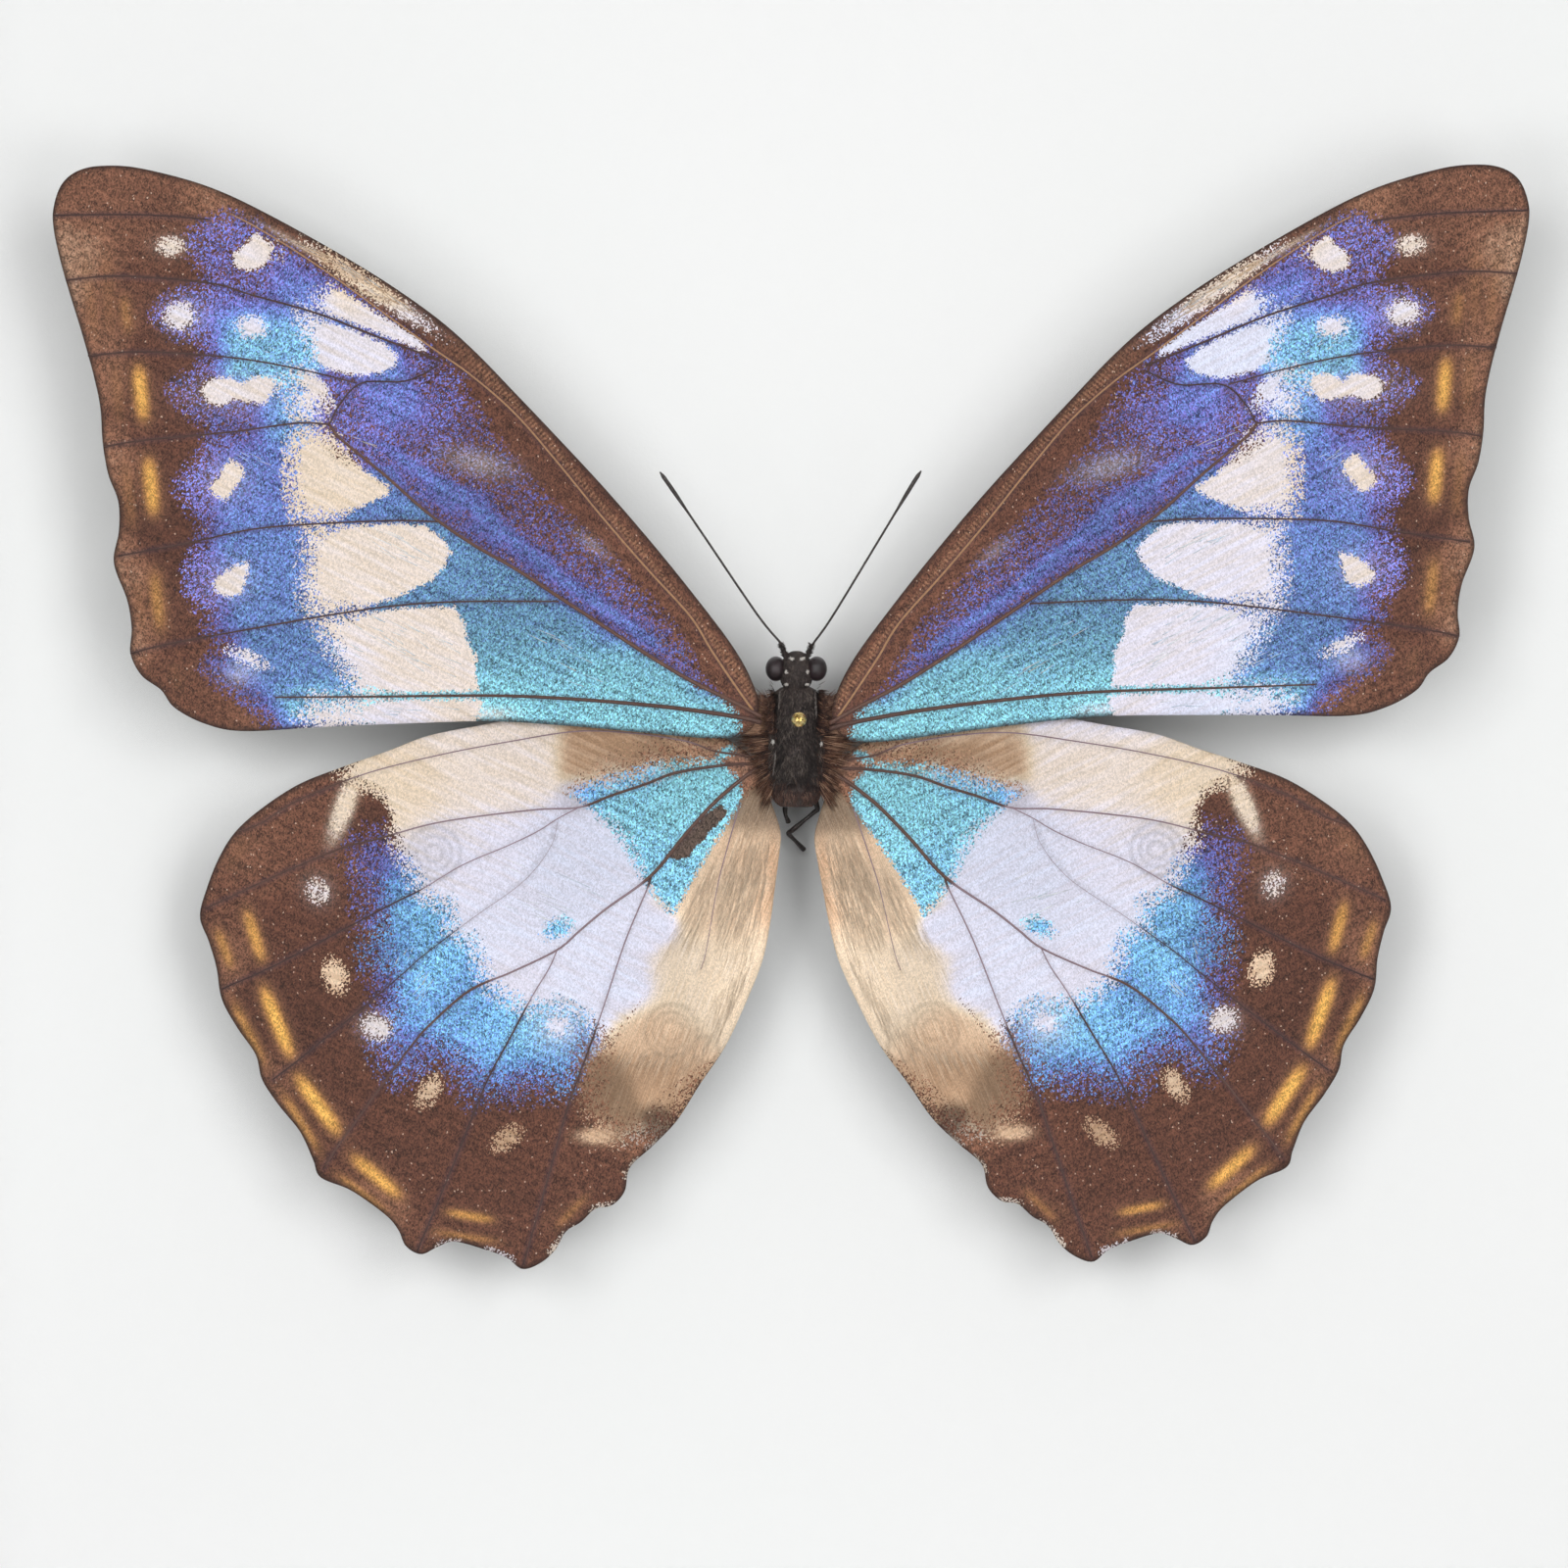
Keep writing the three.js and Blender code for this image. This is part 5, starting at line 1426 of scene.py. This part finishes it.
def strokes(beds, plan, label, side, pose):
    """Needles scattered in each bed, whose long side lies along its direction, half sunk in the skin. A
    needle whose end comes too near the outline is left out."""
    rows = np.repeat(np.asarray(beds, float), [bed[-1] for bed in beds], axis=0)
    way = np.radians(rows[:, 4])
    along, across = (chance.uniform(-1, 1, (len(rows), 2)) * rows[:, 2:4]).T
    c, s = np.cos(way), np.sin(way)
    centre = rows[:, :2] + np.column_stack([along * c - across * s, along * s + across * c])
    angle = way + chance.normal(0, 0.09, len(rows))
    length = chance.uniform(rows[:, 5], rows[:, 6])[:, None]
    half = length / 2 * np.column_stack([np.cos(angle), np.sin(angle)])
    ends = [centre - half, centre + half]
    held = np.min([to_outline(end, plan["outline"]) for end in ends], axis=0) > CREASE_INSET
    tops = []
    for end in ends:
        height = upper_skin(plan, end[held], np.full(held.sum(), FAR_AWAY)) + CREASE_RISE
        tops.append(placed(end[held], height, side, **pose))
    shade = np.clip(rows[held, 7] + chance.normal(0, 0.12, held.sum()), 0, 1)
    name = f"{plan['kind']}_crease_highlights_{label}"
    # painted highlights: pale needles stand for the light caught on crease crests
    fur(name, crease_highlight, plan["slot"], *tops, CREASE_HALF, np.zeros(3), shade)


# the finish of the painted crease highlights, cream to bluish white
crease_highlight = fur_finish("crease_highlight", linear(222, 190, 158), linear(196, 220, 240), linear(248, 250, 252))
for one_wing in WINGS:
    strokes(FOREWING_STROKES if one_wing[0] is FORE else HINDWING_STROKES, *one_wing)

# %% [markdown]
# ## The body
# The chest is a blunt barrel of black-brown plates under short hair that lies backwards. Two lengthwise
# furrows, a short one in the middle and a rounded rear lobe break it up. The hair grows from a core that
# is a little smaller than the solid, and every tip is pulled back inside the solid's own oval section.

# %% Form of the chest and head
BODY_X = -0.22
END_INSET = 0.02
THORAX = {
    "front": 3.15, "back": -8.0, "x": BODY_X, "z": 21.6, "half_width": 2.9, "half_height": 3.3, "blunt": 0.18}
HEAD = {
    "front": 6.4, "back": 2.4, "x": BODY_X, "z": 22.4, "half_width": 1.6, "half_height": 1.5, "blunt": 0.4}
# each furrow: its line, its width and its depth
FURROWS = [
    ([(-1.95, 2.6), (-2.0, 0), (-1.8, -2.6)], 0.22, 0.3), ([(1.55, 2.6), (1.6, 0), (1.4, -2.6)], 0.22, 0.3),
    ([(-0.2, 2.2), (-0.2, -2.4)], 0.16, 0.16), ([(-1.9, -2.8), (-2.3, -5.6)], 0.2, 0.25),
    ([(1.5, -2.8), (1.9, -5.6)], 0.2, 0.25)]


def swell(form, y):
    """How full the section is at y: sin(pi u)^blunt, with u running 0 to 1 from front to back."""
    u = np.clip((form["front"] - y) / (form["front"] - form["back"]), 0, 1)
    return np.maximum(np.sin(np.pi * u), 0) ** form["blunt"]


def bulk(form, y, turn, fill):
    """Points of the oval section at y, fill times as large as the solid's."""
    size = fill * swell(form, y)
    return np.stack([form["x"] + form["half_width"] * size * np.cos(turn), y + 0 * turn,
                     form["z"] + form["half_height"] * size * np.sin(turn)], axis=-1)


def top_of(form, x, y, fill):
    """Height of the upper skin at x and y, from the oval's equation."""
    size = fill * swell(form, y)
    share = np.maximum(size**2 - ((x - form["x"]) / form["half_width"]) ** 2, 0)
    return form["z"] + form["half_height"] * np.sqrt(share)


def furrows(p):
    """Depth in millimetres of the chest's furrows: depth exp(-(d / width)^2) along each line, round the
    rear lobe and across the chest behind it."""
    depth = np.max([deep * beside(p[:, :2], line, width) for line, width, deep in FURROWS], axis=0)
    lobe = np.hypot((p[:, 0] + 0.2) / 1.4, (p[:, 1] + 3.9) / 1.75) - 1
    depth = np.maximum(depth, 0.32 * np.exp(-((lobe / 0.16) ** 2)))
    depth = np.maximum(depth, 0.3 * np.exp(-(((p[:, 1] + 6.0) / 0.3) ** 2)))
    return depth * step(0, 1.0, p[:, 2] - THORAX["z"])


print("furrows:", len(FURROWS) + 2)

# %% [markdown]
# The core is a barrel of rings under the hair. Where a furrow runs, its skin is pressed in.

# %% Core
def core(form, rings, around, fill, dents=None):
    """A closed barrel whose rings crowd towards both ends."""
    share = (1 - np.cos(np.pi * np.arange(1, rings + 1) / (rings + 1))) / 2
    y = (form["front"] + (form["back"] - form["front"]) * share)[:, None]
    skin = bulk(form, y, full_turn(around)[None, :], fill)
    if dents is not None:
        skin[..., 2] -= dents(skin.reshape(-1, 3)).reshape(rings, around)
    front, back = form["front"] - END_INSET, form["back"] + END_INSET
    return capped([form["x"], front, form["z"]], skin, [form["x"], back, form["z"]])


plates, tree, shader = finish("body_plates", Roughness=0.6, Specular_IOR_Level=0.3)
patches = grain(tree, 0.9, 4.0)
pits = grouped(tree, scale_mosaic, Vector=place_in(tree), Width=0.12, Length=0.2)
body_tone = scaled(tree, pits["Shade"], 0.5, times(tree, patches, 0.6))
coloured(tree, shader, ramp(tree, body_tone, [
    (0.2, linear(34, 27, 26)), (0.55, linear(56, 47, 45)), (0.9, linear(84, 72, 67))]))
raised(tree, shader, pits["Height"], 0.06, 0.6)
piece("thorax_core", core(THORAX, 70, 96, 0.9, furrows), plates, ["thorax"])
piece("head_core", core(HEAD, 36, 48, 0.93), plates, ["head"])

# %% [markdown]
# The hair of the chest is laid in two coats, above and below. At the rear and on the flanks it is brown,
# elsewhere nearly black, and in the furrows it is painted darker, as the shade that falls there.

# %% Fur
# how much of the solid's section the hair may fill, and how far a hair bows out
FULLEST, HAIR_BOW = 0.985, 0.06
# how much a hair stands up, which way it lies, and how much it strays
HAIR_LIFT, HAIR_LIE, HAIR_STRAY = 0.42, np.array([0, -0.85, 0]), 0.22
CHEST_HAIR, HEAD_HAIR = 0.032, 0.026
# label, number of hairs, and the two angles between which they grow
THORAX_COATS = (("upper", 6500, -0.35, np.pi + 0.35), ("lower", 2200, np.pi + 0.3, 2 * np.pi - 0.3))
HEAD_HAIRS = 1300
REAR_START, FLANK_START = -5.7, 2.45


def clumps(p):
    """Patches of lighter and darker hair, -1 to 1: the product of two waves that bend each other."""
    x, y = p[:, 0], p[:, 1]
    return np.sin(3.1 * x + 1.7 * np.sin(2.3 * y)) * np.sin(2.7 * y + 1.3 * np.sin(1.9 * x))


def coat(form, count, fill, length, low, high, dents=None):
    """Roots spread over a barrel between two angles, and tips that lie back, kept inside the solid."""
    y = chance.uniform(form["back"] + 0.12, form["front"] - 0.08, count)
    turn = chance.uniform(low, high, count)
    roots = bulk(form, y, turn, fill)
    if dents is not None:
        roots[:, 2] -= dents(roots)
    x, z = np.cos(turn) / form["half_width"], np.sin(turn) / form["half_height"]
    outward = unit(np.stack([x, 0 * turn, z], axis=1))
    lay = unit(HAIR_LIFT * outward + HAIR_LIE + chance.normal(0, HAIR_STRAY, (count, 3)))
    tips = roots + lay * chance.uniform(0.6, 1.1, count)[:, None] * length
    tips[:, 1] = np.clip(tips[:, 1], form["back"] + 0.06, form["front"] - 0.04)
    middle, half = [form["x"], form["z"]], [form["half_width"], form["half_height"]]
    offset = (tips[:, [0, 2]] - middle) / half
    size = np.hypot(*offset.T) / np.maximum(swell(form, tips[:, 1]), 1e-3)
    keep = np.minimum(1, FULLEST / np.maximum(size, 1e-6))[:, None]
    tips[:, [0, 2]] = middle + offset * keep * half
    return roots, tips, HAIR_BOW * outward * keep


dark_fur = fur_finish("dark_fur", linear(30, 25, 25), linear(66, 57, 54), linear(132, 120, 112))
brown_fur = fur_finish("brown_fur", linear(48, 33, 31), linear(96, 69, 61), linear(156, 122, 106))
for label, count, low, high in THORAX_COATS:
    roots, tips, bow = coat(THORAX, count, 0.88, 0.8, low, high, furrows)
    # painted shade: hair in a furrow is darkened by 1.8 times the furrow's depth
    shade = chance.normal(0.44, 0.24, count) + 0.26 * clumps(roots) - 1.8 * furrows(roots + [0, 0, 0.3])
    shade = np.clip(shade, 0, 1)
    rear = roots[:, 1] + chance.normal(0, 0.35, count) < REAR_START
    rear |= np.abs(roots[:, 0] - BODY_X) + chance.normal(0, 0.3, count) > FLANK_START
    for kind, skin, held in (("fur", dark_fur, ~rear), ("tufts", brown_fur, rear)):
        name = f"thorax_{kind}_{label}"
        fur(name, skin, "body_hair", roots[held], tips[held], CHEST_HAIR, bow[held], shade[held])
roots, tips, bow = coat(HEAD, HEAD_HAIRS, 0.91, 0.4, -0.4, np.pi + 0.4)
shade = np.clip(chance.normal(0.3, 0.2, HEAD_HAIRS), 0, 1)
fur("head_fur", dark_fur, "body_hair", roots, tips, HEAD_HAIR, bow, shade)

# %% [markdown]
# White scales sit in small tufts: between the eyes, on the collar and on the shoulders. A few pale
# grey lines of hair run along the shoulder plates.

# %% White tufts
# each dot: the form it sits on, its place, its half-width and half-length, its tilt
WHITE_DOTS = [
    (HEAD, -0.62, 5.7, 0.26, 0.14, -15), (HEAD, 0.34, 5.7, 0.26, 0.14, 20),
    (HEAD, -1.14, 4.5, 0.12, 0.24, 0), (HEAD, 0.82, 4.5, 0.14, 0.2, 0), (HEAD, -1.1, 3.35, 0.24, 0.12, 0),
    (HEAD, 0.8, 3.35, 0.2, 0.09, 0), (THORAX, -2.52, 1.7, 0.14, 0.34, -18),
    (THORAX, 2.18, 1.62, 0.14, 0.34, 18), (THORAX, -2.36, -1.95, 0.16, 0.24, 0),
    (THORAX, 2.1, -2.1, 0.13, 0.24, 0)]
GREY_LINES = [
    ((-1.72, 2.75), (-1.82, 1.2)), ((1.5, 2.75), (1.62, 0.5)), ((-2.45, 0.4), (-2.4, -0.9)),
    ((-2.1, -2.8), (-2.35, -4.9))]
PER_DOT, PER_LINE = 70, 60
WHITE_SCALE, GREY_SCALE = 0.035, 0.03

dots = []
for form, x, y, half_width, half_length, tilt in WHITE_DOTS:
    dx, dy = np.array([[half_width], [half_length]]) * chance.normal(0, 0.38, (2, PER_DOT))
    c, s = np.cos(np.radians(tilt)), np.sin(np.radians(tilt))
    dot_x, dot_y = x + c * dx - s * dy, y + s * dx + c * dy
    dots.append(np.stack([dot_x, dot_y, top_of(form, dot_x, dot_y, 0.97)], axis=1))
roots = np.concatenate(dots)
tips = roots + chance.normal(0, 0.03, roots.shape) + [0, -0.14, 0.04]
white_scales = fur_finish("white_scales", linear(176, 166, 160), linear(214, 206, 200), linear(240, 236, 230))
shade = chance.uniform(0.2, 1, len(roots))
fur("white_tufts", white_scales, "body_hair", roots, tips, WHITE_SCALE, np.zeros(3), shade)

share = chance.uniform(0, 1, (len(GREY_LINES), PER_LINE, 1))
start, end = np.array(GREY_LINES)[:, 0, None], np.array(GREY_LINES)[:, 1, None]
stray = chance.normal(0, 0.035, (len(GREY_LINES), PER_LINE, 2))
flat = (start + share * (end - start) + stray).reshape(-1, 2)
roots = np.column_stack([flat, top_of(THORAX, flat[:, 0], flat[:, 1], 0.965)])
tips = roots + chance.normal(0, 0.03, roots.shape) + [0, -0.35, 0.0]
grey_scales = fur_finish("grey_scales", linear(70, 62, 60), linear(112, 103, 99), linear(150, 142, 137))
shade = chance.uniform(0.2, 1, len(roots))
fur("grey_lines", grey_scales, "body_hair", roots, tips, GREY_SCALE, np.zeros(3), shade)

# %% [markdown]
# The eyes are glossy domes of thousands of facets, too small to see one by one, so a fine cell pattern
# gives them their dull sparkle.

# %% Eyes
EYES = np.array([(-2.1, 4.75, 22.4), (1.66, 4.75, 22.4)])
EYE_HALF = np.array([0.95, 1.15, 1.28])
EYE_RINGS, EYE_AROUND = 30, 40
FACET = 0.05


def spun(radius, height, around):
    """A profile turned about the upright axis: (r cos t, r sin t, z). Radius and height are columns."""
    turn = full_turn(around)[None, :]
    return np.stack([radius * np.cos(turn), radius * np.sin(turn), height + 0 * turn], axis=-1)


eye_skin, tree, shader = finish("eye_facets", Roughness=0.28, Specular_IOR_Level=0.5)
facets = grouped(tree, scale_mosaic, Vector=place_in(tree), Width=FACET, Length=FACET)
eye_tone = scaled(tree, facets["Shade"], 0.35, times(tree, grain(tree, 1.2, 2.0), 0.7))
coloured(tree, shader, ramp(tree, eye_tone, [
    (0.2, linear(17, 12, 14)), (0.55, linear(33, 24, 26)), (0.9, linear(62, 43, 48))]))
raised(tree, shader, facets["Height"], 0.02, 0.5)

tilt = (np.pi * np.arange(1, EYE_RINGS + 1) / (EYE_RINGS + 1))[:, None]
ball = spun(np.sin(tilt), np.cos(tilt), EYE_AROUND)
pole = np.array([0, 0, 1])
domes = [capped(c + pole * EYE_HALF, c + ball * EYE_HALF, c - pole * EYE_HALF) for c in EYES]
piece("eyes", joined(domes), eye_skin)
print("eye facets:", FACET, "mm wide")

# %% [markdown]
# The antennae, the mouth feelers and the legs are dark jointed rods. Their finish has fine rings, which
# follow the distance from the root.

# %% Feelers and legs
chitin, tree, shader = finish("dark_chitin", Roughness=0.42, Specular_IOR_Level=0.4)
band_inputs = {"Vector": carried(tree, "along", "Vector"), "Scale": 0.8}
bands = node(tree, "ShaderNodeTexWave", band_inputs, bands_direction="X").outputs["Fac"]
rod_tone = scaled(tree, bands, 0.35, times(tree, grain(tree, 0.3, 3.0), 0.6))
coloured(tree, shader, ramp(tree, rod_tone, [
    (0.1, linear(26, 20, 19)), (0.5, linear(44, 35, 33)), (0.95, linear(70, 57, 52))]))
raised(tree, shader, bands, 0.03, 0.5)

ANTENNAE = {
    "antenna_left": [(-1.5, 6.75, 23.1), (-1.75, 7.2, 23.5), (-3.8, 9.7, 23.9), (-8.5, 16.6, 24.9),
        (-11.5, 21, 25.5), (-12.7, 22.7, 25.7)],
    "antenna_right": [(1.15, 6.75, 23.1), (1.45, 7.2, 23.5), (3.2, 9.7, 23.9), (7.4, 16.6, 24.9),
        (10.3, 21.4, 25.5), (11.2, 22.8, 25.7)],
}
LEGS = {
    "hind_leg_bent": [(1, -4.5, 17.8), (1.66, -7.7, 17.8), (1.75, -8.2, 17.8), (1.4, -8.5, 17.7),
        (-0.6, -10.15, 17.2), (-0.95, -10.4, 17.1), (-0.72, -10.7, 16.8), (0.5, -11.95, 15.4)],
    "hind_leg_stub": [(-1, -4.5, 17.8), (-1.25, -8.2, 17.8), (-0.95, -9.4, 17)],
}
FEELERS = {
    "feeler_left": [(-1.1, 5.7, 22.6), (-1.45, 6.5, 22.9), (-1.65, 7.05, 23.1)],
    "feeler_right": [(0.7, 5.7, 22.6), (1.05, 6.5, 22.9), (1.2, 7, 23.1)]}
ROD_SIDES = 10
FEELER_HAIR = 0.035
ANTENNA_STEPS, LEG_STEPS, FEELER_STEPS, FEELER_HAIRS = 120, 90, 30, 260


def rod(name, path, radius, stands_for=()):
    """A tube whose points know their distance from the root, for the rings of the finish."""
    along = along_tube(run_of(path), ROD_SIDES)
    piece(name, tube(path, radius, ROD_SIDES), chitin, stands_for, {"along": along})


share = np.linspace(0, 1, ANTENNA_STEPS)
antenna_radius = 0.105 + 0.085 * step(0.74, 0.9, share) - 0.12 * step(0.97, 1.0, share)
for name, line in ANTENNAE.items():
    rod(name + "_rod", spread(line, ANTENNA_STEPS), antenna_radius, [name])
leg_radius = 0.24 - 0.06 * np.sin(3 * np.pi * np.linspace(0, 1, LEG_STEPS)) ** 2
for name, line in LEGS.items():
    rod(name + "_rod", spread(line, LEG_STEPS), leg_radius, [name])

roots, tips = [], []
for line in FEELERS.values():
    path = spread(line, FEELER_HAIRS)
    way = np.gradient(path, axis=0)
    around = unit(np.cross(way, chance.normal(0, 1, (FEELER_HAIRS, 3))))
    lean = 0.3 * unit(way) * np.linspace(1, 0.3, FEELER_HAIRS)[:, None]
    roots.append(path + 0.12 * around)
    tips.append(path + chance.uniform(0.2, 0.46, (FEELER_HAIRS, 1)) * around + lean)
for name, line in FEELERS.items():
    rod(name, spread(line, FEELER_STEPS), np.linspace(0.2, 0.12, FEELER_STEPS))
roots, tips = np.concatenate(roots), np.concatenate(tips)
shade = chance.uniform(0, 0.6, len(roots))
fur("feeler_fur", dark_fur, "body_hair", roots, tips, FEELER_HAIR, np.zeros(3), shade)

# %% [markdown]
# ## Hair on the wing roots
# Where the wings join the chest, long hair bridges the gap and lies on the sheets: tan and brown in
# front, reddish in the middle, dark behind. The inner fold of the hindwing has a coat of its own.

# %% Hair on the wing roots
# root out and ahead, tip out and ahead, spread, how light
ROOT_TUFTS = [
    (2.5, 1.4, 3.6, 2.2, 0.4, 0.2), (2.5, 1.0, 5.0, 2.2, 0.6, 0.35), (2.6, 0.4, 5.6, 1.1, 0.6, 0.6),
    (2.7, 0, 4.6, 0.2, 0.5, 0.95), (2.6, -0.6, 5.2, -0.5, 0.6, 0.75), (2.7, -1.1, 5.2, -1.4, 0.5, 0.8),
    (2.6, -1.6, 5.8, -1.9, 0.6, 0.55), (2.6, -2.2, 5.4, -2.5, 0.6, 0.5), (2.6, -3.2, 4.6, -3.7, 0.6, 0.45),
    (2.6, -4.2, 4.3, -4.8, 0.7, 0.4), (2.5, -5.2, 4.0, -6.4, 0.7, 0.4), (2.3, -6.0, 3.5, -7.8, 0.6, 0.45),
    (2.1, 2.2, 2.9, 1.7, 0.6, 0.1), (2.1, 0.9, 3.1, 0.5, 0.7, 0.1), (2.1, -0.5, 3.1, -0.9, 0.7, 0.12),
    (2.1, -1.9, 3.1, -2.3, 0.7, 0.1), (2.1, -3.3, 3.1, -3.8, 0.7, 0.12), (2.1, -4.7, 3.0, -5.3, 0.7, 0.1)]
PER_TUFT = 210
ROOT_HAIR, ROOT_BOW = 0.028, np.array([0, 0, 0.12])
WINGS_MEET = -1.3

root_fur = fur_finish("root_fur", linear(52, 34, 30), linear(116, 78, 60), linear(196, 156, 128))
for side, label in ((-1, "left"), (1, "right")):
    rows = np.repeat(ROOT_TUFTS, PER_TUFT, axis=0)
    stray = chance.normal(0, 1, (len(rows), 2)) * rows[:, 4:5] * 0.6
    start = rows[:, :2] + stray * [0.3, 0.9]
    length = chance.uniform(0.35, 1.15, (len(rows), 1))
    end = start + (rows[:, 2:4] - rows[:, :2]) * length + stray * [0.3, 0.6]
    wing_top = np.where(end[:, 1] > WINGS_MEET, forewing_height(end), hindwing_height(end)) + SHEET
    root_x, root_y = side * start[:, 0] - 0.2, start[:, 1]
    tip_x, tip_z = side * (end[:, 0] - 0.1 * (side > 0)), wing_top + chance.uniform(0, 0.12, len(end))
    roots = np.column_stack([root_x, root_y, top_of(THORAX, root_x, root_y, 0.9)])
    tips = np.column_stack([tip_x, end[:, 1], tip_z])
    shade = np.clip(rows[:, 5] - 0.06 + 0.2 * clumps(2 * end) + chance.normal(0, 0.32, len(rows)), 0, 1)
    fur(f"wing_root_fur_{label}", root_fur, "body_hair", roots, tips, ROOT_HAIR, ROOT_BOW, shade)

# %% [markdown]
# The hair of the fold lies flat and points backwards. It is darkest at the wing's root.

# %% Hair on the inner fold
# two corners of the box in which roots are tried, and how many are
FOLD_LOW, FOLD_HIGH, FOLD_TRIES = (1.5, -31), (16, -6.5), 6000
FOLD_HAIR, FOLD_BOW = 0.014, np.array([0, 0, 0.03])

fold_fur = fur_finish("fold_fur", linear(140, 110, 86), linear(214, 184, 156), linear(246, 224, 198))
for side, label, pose in ((-1, "left", AS_DRAWN), (1, "right", RIGHT_HINDWING)):
    start = chance.uniform(FOLD_LOW, FOLD_HIGH, (FOLD_TRIES, 2))
    start = start[to_outline(start, HINDWING_FOLD) > 0.25]
    lean = 0.1 + 0.035 * start[:, 0] + chance.normal(0, 0.05, len(start))
    way = unit(np.column_stack([lean, -np.ones(len(start))]))
    end = start + way * chance.uniform(1.2, 2.8, (len(start), 1))
    held = (to_outline(start, HINDWING_OUTLINE) > 0.9) & (to_outline(end, HINDWING_OUTLINE) > 0.6)
    start, end = start[held], end[held]
    rise = chance.uniform(0.02, 0.1, len(end))
    roots = placed(start, hindwing_height(start) + 0.05, side, **pose)
    tips = placed(end, hindwing_height(end) + 0.1 + 0.6 * rise, side, **pose)
    back = start[:, 1]
    paler = 0.5 * step(-6.5, -10, back) + 0.22 * step(-14, -20, back) - 0.3 * step(-26, -32, back)
    shade = np.clip(0.22 + paler + chance.normal(0, 0.1, len(end)), 0, 1)
    fur(f"fold_fur_{label}", fold_fur, "hindwing_scales", roots, tips, FOLD_HAIR, FOLD_BOW, shade)

# %% [markdown]
# ## The pin
# A brass pin with a ball head holds everything. It is turned on a lathe: one profile, spun about the
# upright axis.

# %% Pin
SHAFT, BALL = 0.24, 0.69
PIN_AROUND = 40

low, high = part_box("pin")
pin_x, pin_y = (low.x + high.x) / 2 / MM, (low.y + high.y) / 2 / MM
pin_top, pin_point = high.z / MM, low.z / MM
ball_angle = np.linspace(np.pi - 0.36, 0.12, 24)
profile_r = np.concatenate([np.linspace(0.03, SHAFT, 8), np.full(20, SHAFT), BALL * np.sin(ball_angle)])
point_z = np.linspace(pin_point + 0.05, pin_point + 1.6, 8)
shaft_z = np.linspace(pin_point + 2, pin_top - 1.4, 20)
profile_z = np.concatenate([point_z, shaft_z, pin_top - BALL + BALL * np.cos(ball_angle)])
skin = spun(profile_r[:, None], profile_z[:, None], PIN_AROUND) + [pin_x, pin_y, 0]
brass, tree, shader = finish("brass", Metallic=1.0)
tarnish = grain(tree, 0.35, 4.0)
coloured(tree, shader, ramp(tree, tarnish, [
    (0.35, linear(150, 118, 62)), (0.5, linear(216, 186, 116)), (0.7, linear(244, 224, 168))]))
tree.links.new(scaled(tree, tarnish, 0.3, 0.12), shader.inputs["Roughness"])
raised(tree, shader, tarnish, 0.05, 0.4)
piece("pin_rod", capped([pin_x, pin_y, pin_point], skin, [pin_x, pin_y, pin_top]), brass, ["pin"])
